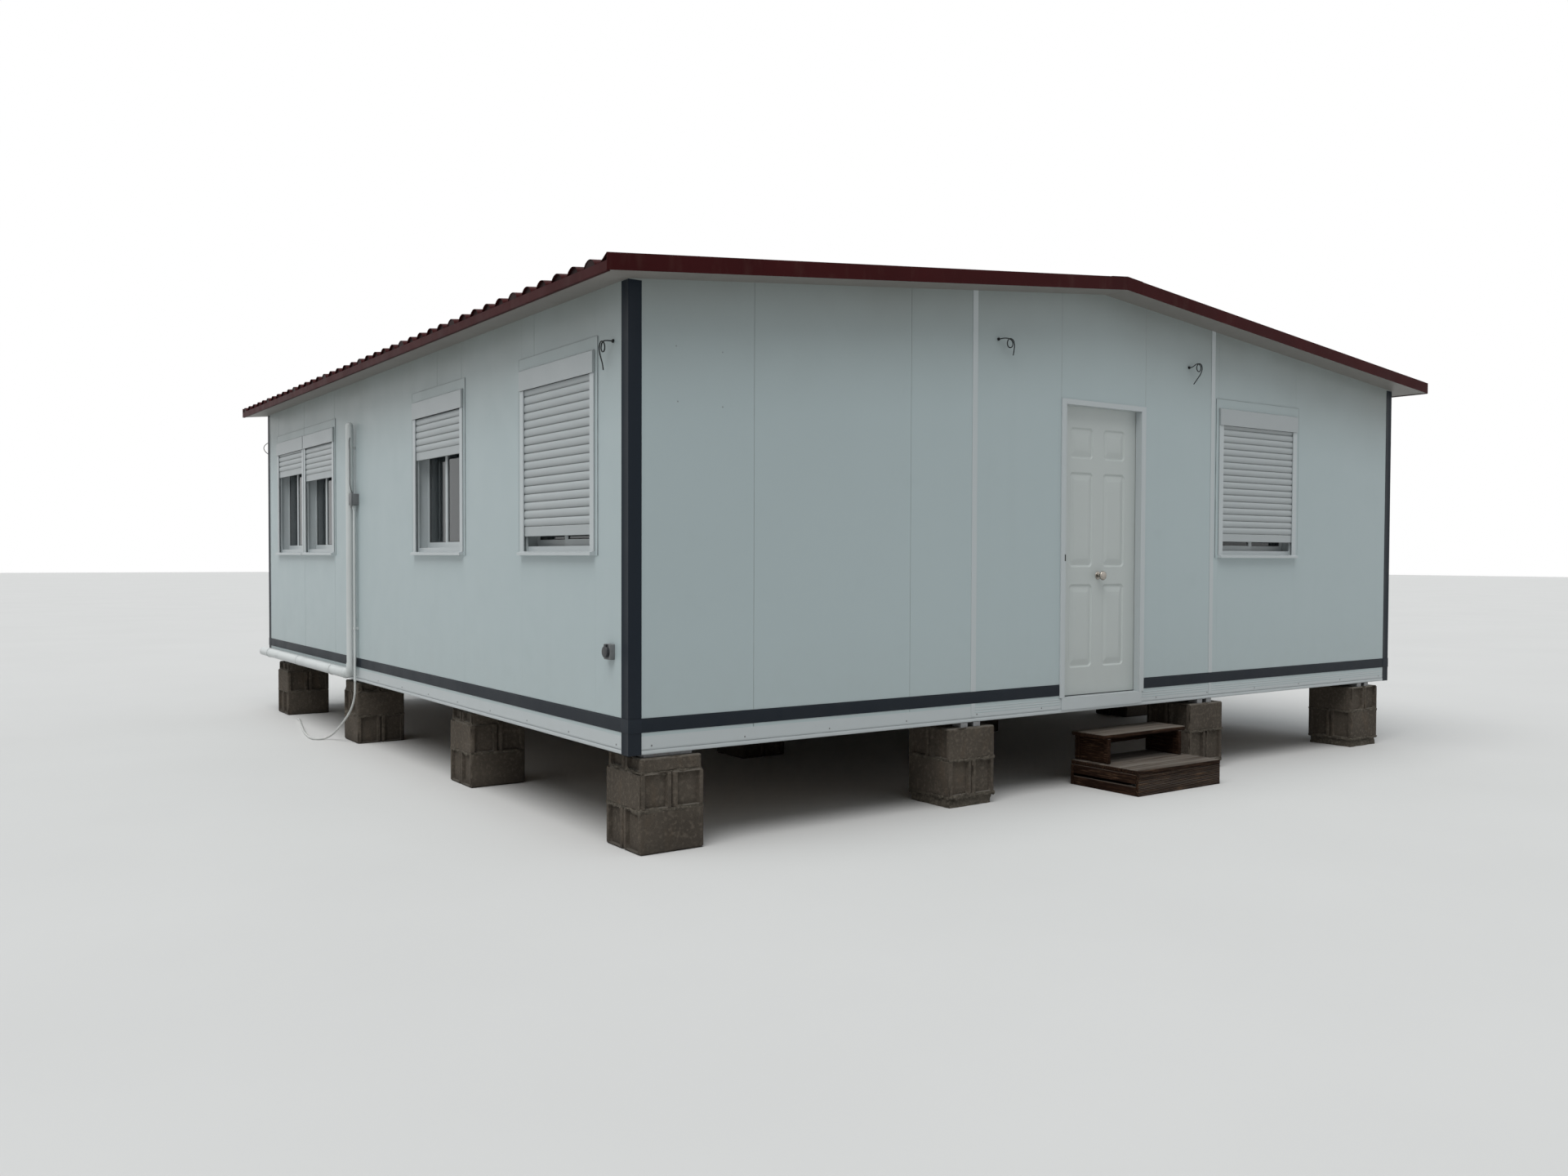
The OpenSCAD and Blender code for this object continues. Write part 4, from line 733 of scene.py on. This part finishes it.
def make_corner_trims():
    """Folded angles with a rounded corner, hemmed edges and a slight wave."""
    trims = Shape()
    wraps = Shape()
    leg = [(CORNER_LEG, CLEAR), (CORNER_LEG, 0.0030), (CORNER_LEG - 0.006, 0.0030),
           (CORNER_LEG - 0.008, 0.0023), (0.03, 0.0022), (0.004, 0.0030)]
    turn = [(-0.0012, -0.0028), (-0.0024, -0.0024), (-0.0028, -0.0012)]
    inside = [(-CLEAR, CORNER_LEG), (-CLEAR, -CLEAR), (CORNER_LEG, -CLEAR)]
    wrap = [(0.0031, BAND_Z), (0.0046, BAND_Z), (0.0046, BAND_TOP - 0.006),
            (0.0038, BAND_TOP - 0.004), (0.0044, BAND_TOP), (0.0031, BAND_TOP)]
    for number in range(4):
        # The corner's own frame, with a and b along its two walls
        def place(a, b, z, right=number > 1, back=number % 2):
            return at(WIDTH - a if right else a, LENGTH - b if back else b, z)

        rings = []
        for z in spread(0, TRIM_TOP, 0.11):
            wave = 0.0007 * (noise.noise(Vector((number * 7.1, 0, z * 2.3))) - 1)
            first = [(a, -(out + wave if out > 0.001 else out)) for a, out in leg]
            second = [(b, a) for a, b in reversed(first)]
            outline = first[1:] + turn + second[:-1] + inside
            rings.append([place(a, b, z) for a, b in outline])
        trims.rings(rings)
        reach = CORNER_LEG + 0.002
        wraps.rings([[place(reach, -out, z) for out, z in wrap],
                     [place(-out, -out, z) for out, z in wrap],
                     [place(-out, reach, z) for out, z in wrap]])
    trims.make("folded_corners", "anthracite_trim", replaces="corner_trims", sharp=30)
    wraps.make("band_corners", "anthracite_trim")


def make_bands():
    """The dark bands, each with a folded lip along its upper edge."""
    bands = Shape()
    section = [
        (-CLEAR, BAND_Z), (-0.0024, BAND_Z), (-0.0030, BAND_Z + 0.004),
        (-0.0030, BAND_TOP - 0.009), (-0.0016, BAND_TOP - 0.006), (-0.0016, BAND_TOP - 0.004),
        (-0.0030, BAND_TOP - 0.001), (-0.0026, BAND_TOP), (-CLEAR, BAND_TOP),
    ]
    for place, span in WALLS:
        ends = (CORNER_LEG + 0.0005, span - CORNER_LEG - 0.0005)
        runs = [ends]
        if place is front_side:
            runs = [(ends[0], DOOR_EDGES[0]), (DOOR_EDGES[1], ends[1])]
        for start, end in runs:
            bands.prism(section, spread(start, end, 0.5), place)
    bands.make("dark_bands", "anthracite_trim", replaces="plinth_bands", sharp=25)


def ridge(z, height, foot, out):
    """A low folded ridge in section, its foot standing out a little."""
    top = z + height
    return [(0.0005, z), (-foot, z), (-out, z + 0.002), (-out, top - 0.002), (-foot, top),
            (0.0005, top)]


def make_skirt_details():
    """Lips and small screws along the skirt, and fine swages on it under the gable."""
    screws, swages, lips, shadows = (Shape() for _ in range(4))
    for place, span in WALLS:
        outwards = (place(0, -1, 0) - place(0, 0, 0)).normalized()
        for u in spread(0.14, span - 0.14, 0.6):
            if place is front_side and 3.3 < u < 4.22:
                continue
            screw_head(screws, place(u, -0.0002, 0.047), outwards, 0.0036, 0.002)
        ends = (CORNER_LEG + 0.001, span - CORNER_LEG - 0.001)
        lips.prism(ridge(0.004, 0.019, 0.0016, 0.0022), spread(*ends, 0.9), place)
        shadows.box(place, ends, (-0.0006, 0.0005), (0.0235, 0.0262))
    for ends in SWAGES_U:
        for z in SWAGES_Z:
            swages.prism(ridge(z, 0.006, 0.0003, 0.0011), ends, front_side)
    lips.make("base_lips", "frame_white", slot="white_panel")
    shadows.make("base_lip_shadows", "shadow_line", slot="white_panel")
    screws.make("skirt_screws", "galvanised")
    swages.make("skirt_swages", "white_panel")


def roof_under(x):
    return EAVE_Z + SLOPE * (min(x, WIDTH - x) + EAVE_OUT)


def make_wall_marks():
    """Sealant in the panel joints and four small screws high on the gable."""
    beads = Shape()
    joints = [(place, u, BAND_TOP, roof_under(u))
              for u in GABLE_JOINTS for place in (front_side, back_side)]
    joints += [(place, u, low, roof_under(0) - 0.001)
               for place in (left_side, right_side) for u, low in SIDE_JOINTS]
    for place, u, low, high in joints:
        ring = [(u - 0.0014, 0.004), (u - 0.0014, 0.0012), (u, 0.0018), (u + 0.0014, 0.0012),
                (u + 0.0014, 0.004)]
        beads.rings([[place(a, d, z) for a, d in ring] for z in (low, high)])
    for u in DOOR_EDGES:
        beads.box(front_side, (u - 0.0011, u + 0.0011), (-0.0003, 0.0004),
                  (DOOR_HEAD, roof_under(u) - 0.001))
    beads.make("joint_sealant", "sealant", slot="white_panel")
    screws = Shape()
    for u, z in GABLE_SCREWS:
        screw_head(screws, front_side(u, -0.0001, z), (0, -1, 0), 0.0032, 0.0020)
    screws.make("gable_screws", "shadow_line", slot="white_panel")


make_corner_trims()
make_bands()
make_skirt_details()
make_wall_marks()

# Door

LEAF_X = (3.362, 4.160)
LEAF_Y = (0.050, 0.090)
LEAF_Z = (0.110, 2.127)
KNOB_Z = 0.942
KNOB = (
    (0, 0), (0.0277, 0), (0.0277, 0.0030), (0.0262, 0.0048), (0.0225, 0.0062),
    (0.0175, 0.0075), (0.0128, 0.0100), (0.0118, 0.0150), (0.0118, 0.0260), (0.0135, 0.0300),
    (0.0200, 0.0326), (0.0268, 0.0362), (0.0312, 0.0410), (0.0330, 0.0460), (0.0322, 0.0505),
    (0.0296, 0.0545), (0.0250, 0.0574), (0.0190, 0.0590), (0.0120, 0.0597), (0, 0.0600),
)
STRIKE_U = (3.3560, 3.3665)
STRIKE_Z = (1.044, 1.090)
PANEL_COLS = ((3.466, 3.700), (3.810, 4.037))
PANEL_ROWS = ((0.299, 0.883), (1.002, 1.664), (1.757, 1.975))
# Depth of the moulding against the distance in from a panel's edge
MOULDING = (
    (0, 0), (0.003, 0.0009), (0.009, 0.0068), (0.012, 0.0078), (0.018, 0.0078),
    (0.022, 0.0072), (0.040, 0.0036), (0.056, 0.0006), (0.062, 0),
)


def moulded(x, z):
    """Depth of the door's skin at a point: a groove round each raised panel."""
    for c0, c1 in PANEL_COLS:
        for r0, r1 in PANEL_ROWS:
            h, v = min(x - c0, c1 - x), min(z - r0, r1 - z)
            if h >= 0 and v >= 0:
                inside = min(h * 1.3, v, (h + v - 0.020) / 1.2)
                if inside <= 0:
                    return 0.0
                for (d0, t0), (d1, t1) in zip(MOULDING, MOULDING[1:]):
                    if inside <= d1:
                        return t0 + (t1 - t0) * (inside - d0) / (d1 - d0)
    return 0.0


def panel_lines(low, high, panels, step):
    marks = {low, high}
    for a, b in panels:
        for inside in (d * stretch for d, _ in MOULDING for stretch in (0.77, 1.0)):
            marks.update((a + inside, b - inside))
        marks.update((a + 0.020, b - 0.020, a - 0.003, b + 0.003))
    lines = sorted(marks)
    fine = [lines[0]]
    for line in lines[1:]:
        if line - fine[-1] >= 0.0012:
            fine.extend(spread(fine[-1], line, step)[1:])
    fine[-1] = high
    return fine


def make_door():
    leaf = Shape()
    xs = panel_lines(*LEAF_X, PANEL_COLS, 0.05)
    zs = panel_lines(*LEAF_Z, PANEL_ROWS, 0.06)

    def skin(x, y, z):
        if x in (xs[0], xs[-1]) or z in (zs[0], zs[-1]):
            return at(x, y, z)
        dish = 0.0006 * (noise.noise(Vector((x * 2.2, 3, z * 1.6))) + 1) / 2
        depth = moulded(x, z) + dish
        return at(x, y + depth if y == LEAF_Y[0] else y - depth, z)

    leaf.lattice(xs, [LEAF_Y[0], LEAF_Y[0] + 0.002, LEAF_Y[1] - 0.002, LEAF_Y[1]], zs, skin)
    leaf.make("door_skin", "door_white", DOOR_BODY, replaces="door_leaf", sharp=60)

    knob = Shape()
    knob.lathe(KNOB, at(sum(LEAF_X) / 2, LEAF_Y[0] - CLEAR, KNOB_Z), (0, -1, 0), 40)
    knob.make("round_knob", "satin_metal", DOOR_BODY, replaces="door_knob", sharp=40)

    # A dark patch of painted shade for the latch's slot in the stop
    slot = Shape()
    slot.box(front_side, STRIKE_U, (-0.0088, -0.0078), STRIKE_Z)
    slot.make("strike_slot_shade", "gap_shade_and_gasket_black", slot="cable_black", bevel=0.0004)


make_door()

# Piers of hollow blocks with mortar between the courses

PIER_W = 0.4
PIER_ROWS_X = (2.490, 4.920, 7.110)
LEFT_PIERS_X = (0.260, 0.240, 0.200, 0.190)
PIER_ROWS_Y = (0.180, 2.570, 5.065, 7.395)
TURNED_PIERS = ((0, 2), (1, 0), (1, 1), (2, 0), (3, 3))
LOWER_H = 0.235
UPPER_H = 0.205
CAP_W = 0.38
CAP_H = 0.08
BED_H = 0.07
BLOCK_RIM = 0.029
BLOCK_LOW_RIM = 0.009
BLOCK_HOLLOW = 0.022
BLOCK_STEP = 0.032
MORTAR_STEPS = 44
SQUARE = ((-1, -1), (1, -1), (1, 1), (-1, 1))


def grid_lines(span, near, step):
    """Lines over a span: close ones by both ends, the rest about a step apart."""
    middle = spread(near[-1], span - near[-1], step)
    return [0.0, *near, *middle[1:-1], *(span - n for n in reversed(near)), span]


def rough(x, y, z, scale, seed):
    spot = Vector((x * scale + seed * 9.7, y * scale + seed * 3.1, z * scale))
    return (noise.noise(spot) + 1) / 2


def ends_met(point, spans):
    """The number of axes on which a point lies at an end of its span."""
    return sum(value in (0.0, span) for value, span in zip(point, spans))


def worn(point, spans, wear):
    """The point, moved in by wear from every end that it lies on."""
    return [
        value + wear if value == 0.0 else value - wear if value == span else value
        for value, span in zip(point, spans)
    ]


def add_block(shape, length, width, height, place, seed):
    """A worn block that lies along x, its ends hollowed between two upright ribs."""
    spans = (length, width, height)
    xs = grid_lines(length, (0.008, 0.024), BLOCK_STEP)
    ys = grid_lines(width, (0.008, BLOCK_RIM, BLOCK_RIM + 0.005), BLOCK_STEP)
    zs = grid_lines(height, (BLOCK_LOW_RIM, BLOCK_LOW_RIM + 0.004), BLOCK_STEP)

    def move(x, y, z):
        wear = 0.0012 * rough(x, y, z, 24, seed)
        if ends_met((x, y, z), spans) > 1:
            chip = max(0.0, rough(x, y, z, 16, seed + 0.5) - 0.52) * 0.05
            wear += 0.0022 + chip + 0.0035 * rough(x, y, z, 60, seed)
        new = worn((x, y, z), spans, wear)
        in_rim = (BLOCK_RIM < y < width - BLOCK_RIM
                  and BLOCK_LOW_RIM < z < height - BLOCK_LOW_RIM)
        if x in (0.0, length) and in_rim:
            depth = BLOCK_HOLLOW * (0.9 + 0.2 * rough(y, z, x, 12, seed))
            new[0] += depth if x == 0.0 else -depth
        return place(*new)

    shape.lattice(xs, ys, zs, move)


def pier_place(i, j, turn, base):
    """A pier's frame: x and y from its middle, z up from a height over the ground."""
    middle = LEFT_PIERS_X[j] if i == 0 else PIER_ROWS_X[i - 1]

    def place(x, y, z):
        if turn:
            x, y = -y, x
        return at(middle + x, PIER_ROWS_Y[j] + y, z + base + GROUND)
    return place


def add_course(shape, i, j, turn, base, height, seed, width=PIER_W):
    pier = pier_place(i, j, turn, base)
    for side, start in enumerate((-width / 2, 0.002)):
        def place(x, y, z, start=start):
            return pier(x - width / 2, y + start, z)
        add_block(shape, width, width / 2 - 0.002, height, place, seed + side * 0.37)


def add_mortar(shape, i, j, base, seed, width=PIER_W):
    """A ragged ridge of mortar squeezed out all round a joint between courses."""
    place = pier_place(i, j, False, base)
    half = width / 2
    rings = []
    for a, b in zip(SQUARE, SQUARE[1:] + SQUARE[:1]):
        for t in range(MORTAR_STEPS):
            x, y = ((c + (d - c) * (t / MORTAR_STEPS)) * half for c, d in zip(a, b))
            n = rough(x, y, base, 26, seed) + 0.5 * rough(x, y, base, 90, seed + 0.4) - 0.25
            out = 1 + (-0.003 + 0.015 * max(0.0, n - 0.34)) / half
            up = 0.005 + 0.026 * max(0.0, rough(x, y, base, 40, seed + 1.3) - 0.32)
            down = 0.006 + 0.032 * max(0.0, rough(x, y, base, 36, seed + 2.7) - 0.32)
            rings.append([place(x * reach, y * reach, z) for reach, z in (
                (0.94, up), (0.94, -down), (0.985, -down), (out, -down * 0.6),
                (out, up * 0.5), (0.985, up),
            )])
    shape.rings(rings, closed=True)


def add_bed(shape, place, seed):
    """A rough bed of concrete under a pier."""
    lines = grid_lines(PIER_W, (0.01, 0.03), 0.026)

    def ragged(x, y, z):
        wear = 0.006 + 0.02 * rough(x, y, z, 20, seed)
        x, y = (min(max(value, wear), PIER_W - wear) - PIER_W / 2 for value in (x, y))
        return place(x, y, z)

    shape.lattice(lines, lines, (0.0, 0.012, 0.03, 0.05, BED_H), ragged)


def make_piers():
    lower, upper, caps, mortar = (Shape() for _ in range(4))
    for i in range(4):
        for j in range(4):
            seed = i * 4 + j + 1.0
            low = i > 0 and j == 0
            turn = (i, j) in TURNED_PIERS
            base = BED_H if low else 0.0
            if low:
                add_bed(mortar, pier_place(i, j, False, 0.0), seed)
            add_course(lower, i, j, turn, base, LOWER_H, seed)
            add_course(upper, i, j, not turn, base + LOWER_H, UPPER_H, seed + 40)
            add_mortar(mortar, i, j, base + LOWER_H, seed)
            if low:
                add_mortar(mortar, i, j, BED_H, seed + 5)
            else:
                add_course(caps, i, j, turn, LOWER_H + UPPER_H, CAP_H, seed + 80, CAP_W)
                add_mortar(mortar, i, j, LOWER_H + UPPER_H, seed + 9, CAP_W)
    lower.make("lower_block_courses", "concrete_block", replaces="pier_lower_blocks", sharp=50)
    upper.make("upper_block_courses", "concrete_block", replaces="pier_upper_blocks", sharp=50)
    caps.make("cap_block_courses", "concrete_block", replaces="pier_caps", sharp=50)
    mortar.make("mortar_ridges", "mortar", slot="concrete_block", sharp=60)


make_piers()

# Wooden steps

STEP_X = (3.620, 4.510)
STEP_Y = (-0.440, 0.1597)
STEP_MID = -0.140
STEP_1 = 0.175
STEP_2 = 0.380
BOARD_T = 0.025
TREAD_T = 0.030
TREAD_W = 0.144
TREAD_PITCH = 0.15
SIDE_GAP = 0.018
SIDE_IN = 0.050
POST_W = 0.040


def add_board(shape, low, high, seed, grooves=0):
    """A worn board between two corners, its z from the ground, with grooves on its front."""
    spans = [b - a for a, b in zip(low, high)]
    near = (0.004, 0.009)
    lines = [grid_lines(span, near if span > 0.024 else (0.004,), 0.06) for span in spans]
    if grooves:
        pitch = spans[2] / grooves
        lines[2] = [k * pitch + part * pitch for k in range(grooves)
                    for part in (0.0, 0.3, 0.42, 0.88)] + [spans[2]]

    def move(*point):
        wear = 0.0006 * rough(*point, 30, seed)
        if ends_met(point, spans) > 1:
            wear += 0.0012 + 0.0035 * max(0.0, rough(*point, 14, seed + 2) - 0.35)
        new = worn(point, spans, wear)
        if grooves and point[1] == 0.0 and 0.0 < point[2] < spans[2]:
            part = (point[2] / spans[2] * grooves) % 1
            if 0.2 < part < 0.6:
                new[1] += 0.0030
        return at(low[0] + new[0], low[1] + new[1], low[2] + new[2] + GROUND)

    shape.lattice(*lines, move)


def make_steps():
    boards, sides, treads, nails = (Shape() for _ in range(4))
    x0, x1 = STEP_X
    y0, y1 = STEP_Y
    top = STEP_1 - TREAD_T
    side = (top - SIDE_GAP) / 2
    low, high = STEP_1 + CLEAR, STEP_2 - TREAD_T
    reach = SIDE_IN + BOARD_T
    inner = reach + CLEAR
    add_board(boards, (x0, y0, 0), (x1, y0 + BOARD_T, top), 1, grooves=14)
    add_board(boards, (x0, y1 - BOARD_T, 0), (x1, y1, top), 2)
    add_board(boards, (x0 + inner, y1 - BOARD_T, (low + high) / 2), (x1 - inner, y1, high), 3)
    for end in (0, 1):
        def add_side(a, b, front, back, foot, head, seed, end=end):
            start, stop = (x1 - b, x1 - a) if end else (x0 + a, x0 + b)
            add_board(sides, (start, front, foot), (stop, back, head), seed)

        for z in (0, side + SIDE_GAP):
            add_side(0, BOARD_T, y0 + BOARD_T + CLEAR, y1 - BOARD_T - CLEAR, z, z + side,
                     4 + end + z)
        add_side(SIDE_IN, reach, STEP_MID + POST_W + CLEAR, y1 - POST_W - CLEAR, low, high,
                 8 + end)
        for n, y in enumerate((STEP_MID, y1 - POST_W)):
            add_side(SIDE_IN - 0.008, reach, y, y + POST_W, low, high, 12 + end * 2 + n)
    for step, (start, z) in enumerate(((y0, STEP_1), (STEP_MID, STEP_2))):
        for n in range(round((y1 - start) / TREAD_PITCH)):
            y = start + n * TREAD_PITCH
            add_board(treads, (x0, y, z - TREAD_T + CLEAR), (x1, y + TREAD_W, z),
                      20 + step * 6 + n)
    for y in (0.03, 0.11, 0.18, 0.26):
        for x in (x0 + 0.02, x1 - 0.02):
            screw_head(nails, at(x, y0 + y, STEP_1 - 0.0008 + GROUND), (0, 0, 1), 0.003, 0.0012)
    boards.make("step_fronts", "grooved_timber", slot="old_timber", replaces="step_boards",
                sharp=40)
    sides.make("step_sides", "old_timber_side", slot="old_timber", sharp=40)
    treads.make("worn_treads", "old_timber", replaces="step_treads", sharp=40)
    nails.make("step_nails", "galvanised")


make_steps()

# Boxes, the drain pipe's reducer and the lead on the vent pipe

JUNCTION = ((4.800, -0.065, 1.490), (4.872, -CLEAR, 1.590))
OUTLET = ((0.155, -0.030, 0.505), (0.230, -CLEAR, 0.590))
LID = (
    (0.0325, 0), (0.0325, 0.0085), (0.0305, 0.0100), (0.0305, 0.0112), (0.0318, 0.0122),
    (0.0318, 0.0140), (0.0300, 0.0160), (0.0240, 0.0168), (0, 0.0170),
)
# Where the elbow's socket ends and the wider drain pipe starts, and the pipes' height
DRAIN_START = 5.002
DRAIN_Z = 0.060
# Round the joint: place along it, then the ring's middle from the wall and its radius
REDUCER = (
    (-0.026, -0.045, 0.0357), (-0.026, -0.045, 0.0378), (-0.014, -0.045, 0.0378),
    (0.002, -0.054, 0.0470), (0.028, -0.054, 0.0470), (0.028, -0.054, 0.0452),
    (0.003, -0.054, 0.0452), (-0.013, -0.045, 0.0357),
)
VENT_LEAD = [
    (-50, 4878, 2062), (-55, 4874, 2050), (-55.5, 4873, 1950), (-55, 4872, 1760),
    (-54, 4870, 1665), (-48, 4865, 1625), (-41, 4860, 1598),
]
LEAD_D = 0.005


def rounded(shape, low, high, place, radius=0.005):
    """A box with rounded upright corners and softened rims, outwards along -d."""
    (u0, d0, z0), (u1, d1, z1) = low, high
    corners = ((u1, z1, 0), (u0, z1, 90), (u0, z0, 180), (u1, z0, 270))
    rings = []
    for d, inset in ((d1, 0.0), (d0 + 0.0025, 0.0), (d0 + 0.0008, 0.0008), (d0, 0.0026)):
        ring = []
        for u, z, start in corners:
            mu = u - copysign(radius, u - (u0 + u1) / 2)
            mz = z - copysign(radius, z - (z0 + z1) / 2)
            for step in range(4):
                a = radians(start + step * 30)
                reach = radius - inset
                ring.append(place(mu + reach * cos(a), d, mz + reach * sin(a)))
        rings.append(ring)
    shape.rings(rings)


def make_boxes():
    boxes = Shape()
    (u0, d0, z0), (u1, d1, z1) = JUNCTION
    rounded(boxes, (u0, d0 + 0.014, z0 + 0.002), (u1, d1, z1 - 0.002), left_side)
    rounded(boxes, (u0 + 0.002, d0, z0), (u1 - 0.002, d0 + 0.0125, z1), left_side)
    for u in (u0 + 0.010, u1 - 0.010):
        for z in (z0 + 0.010, z1 - 0.010):
            screw_head(boxes, left_side(u, d0 + 0.0008, z), (-1, 0, 0), 0.003, 0.0006)
    boxes.lathe([(0.010, 0), (0.010, 0.007), (0.0075, 0.009), (0.0075, 0.014), (0.006, 0.015)],
                left_side(4.860, -0.040, z1 - 0.002), (0, 0, 1), 12)
    boxes.make("junction_case", "box_plastic", replaces="junction_box", sharp=40)

    outlet = Shape()
    rounded(outlet, *OUTLET, left_side, 0.006)
    outlet.make("outlet_case", "box_plastic", replaces="outlet_box", sharp=40)
    lid = Shape()
    lid.lathe(LID, left_side(0.1925, -0.0303, 0.5475), (-1, 0, 0), 28)
    lid.box(left_side, (0.1805, 0.2045), (-0.043, -0.0295), (0.577, 0.588))
    lid.make("outlet_lid", "lid_plastic", slot="box_plastic", sharp=40)

    collar = Shape()
    collar.lathe([(0.0145, 0), (0.0155, 0.004), (0.0155, 0.026), (0.0135, 0.030)],
                 left_side(4.836, -0.030, z0 - 0.034), (0, 0, 1), 20)
    collar.make("conduit_collar", "pipe_plastic")

    reducer = Shape()
    reducer.rings([
        [left_side(DRAIN_START + u, d + radius * cos(a), DRAIN_Z + radius * sin(a))
         for a in circle(40)]
        for u, d, radius in REDUCER
    ], closed=True)
    reducer.make("drain_reducer", "pipe_plastic", sharp=50)
    make_curve("vent_lead", VENT_LEAD, LEAD_D, "cable_black")


make_boxes()

# Plain finish of the pieces that keep their own shape: material, bevel and nodes

NODE_FINISH = (
    ("frame_white", 0.0014, ["base_channels"]),
    ("white_panel", 0.0006, [
        "front_wall_left", "front_wall_over_door", "front_wall_right", "left_wall",
        "right_wall", "back_wall",
    ]),
    ("white_panel", 0.0010, ["roof_beams", "window_trims"]),
    ("shaded_roof_lining", 0, ["roof_panels"]),
    ("roof_red", 0.0009, ["ridge_cap", "verge_trim_front", "verge_trim_back", "eave_trims"]),
    ("frame_white", 0.0016, [
        "joint_covers", "window_sills", "window_frames", "window_sashes", "shutter_guides",
        "door_lining", "door_stops", "door_threshold",
    ]),
    ("shutter_white", 0.0016, ["shutter_boxes"]),
    ("window_glass", 0, ["window_glass"]),
    ("satin_metal", 0.0006, ["door_hinge_pins", "door_hinge_knuckles"]),
    ("galvanised", 0.0015, ["module_beams", "floor_joists", "bearing_plates"]),
    ("floor_board", 0, ["floor_deck"]),
    ("pipe_plastic", 0.0012, ["vent_pipe", "drain_pipe", "conduit", "pipe_clips"]),
    ("cable_black", 0.0008, ["cable_glands"]),
)
for material, width, nodes in NODE_FINISH:
    for node in nodes:
        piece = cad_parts[node]
        piece.data.materials.clear()
        piece.data.materials.append(MATERIAL[material])
        if width:
            add_bevel(piece, width)

# Stage and light

FLOOR_HALF = 120
SKY_COLOR = (0.90, 0.955, 1.0, 1)
# The sky's strength from level up to where it is brightest
SKY_STRENGTH = (0.05, 0.62)
SKY_TOP = 0.9
SUN_ENERGY = 2.25
SUN_ANGLE = 50
SUN_COLOR = (1.0, 0.99, 0.98)
SUN_FROM = (-0.62, -0.32, 1.45)


def make_stage():
    mesh = bpy.data.meshes.new("floor")
    mesh.from_pydata([(x * FLOOR_HALF, y * FLOOR_HALF, 0) for x, y in SQUARE], [], [(0, 1, 2, 3)])
    floor = add_object("floor", mesh)
    floor.location.z = -0.0005
    s = Shader("pale_floor", (0.62, 0.62, 0.61), 0.9)
    s.shade(s.spots(0.3, 0.7, 0.5, 4), 0.97)
    mesh.materials.append(MATERIAL["pale_floor"])


def make_world():
    """Soft light from above, weaker from the sides, on a background that is seen white."""
    world = bpy.data.worlds.new("studio")
    world.use_nodes = True
    bpy.context.scene.world = world
    tree = world.node_tree
    up = add_node(tree, "SeparateXYZ", {0: add_node(tree, "TexCoord")["Generated"]})["Z"]
    strength = add_node(tree, "MapRange", {
        "Value": up, "From Max": SKY_TOP, "To Min": SKY_STRENGTH[0], "To Max": SKY_STRENGTH[1],
    })["Result"]
    sky = tree.nodes["Background"]
    feed(tree, sky, {"Color": SKY_COLOR, "Strength": strength})
    seen = add_node(tree, "Background", {"Color": (1, 1, 1, 1)})[0]
    path = add_node(tree, "LightPath")
    either = path["Is Camera Ray"]
    for ray in ("Is Glossy Ray", "Is Transmission Ray"):
        either = add_node(tree, "Math", {0: either, 1: path[ray]}, operation="MAXIMUM")[0]
    mixed = add_node(tree, "MixShader", {0: either, 1: sky.outputs[0], 2: seen})[0]
    feed(tree, tree.nodes["World Output"], {"Surface": mixed})


def make_sun():
    data = bpy.data.lights.new("soft_sun", "SUN")
    data.energy = SUN_ENERGY
    data.angle = radians(SUN_ANGLE)
    data.color = SUN_COLOR
    sun = add_object("soft_sun", data)
    sun.rotation_mode = "QUATERNION"
    sun.rotation_quaternion = Vector(SUN_FROM).to_track_quat("Z", "Y")


make_stage()
make_world()
make_sun()
bpy.context.scene.view_settings.view_transform = "Standard"
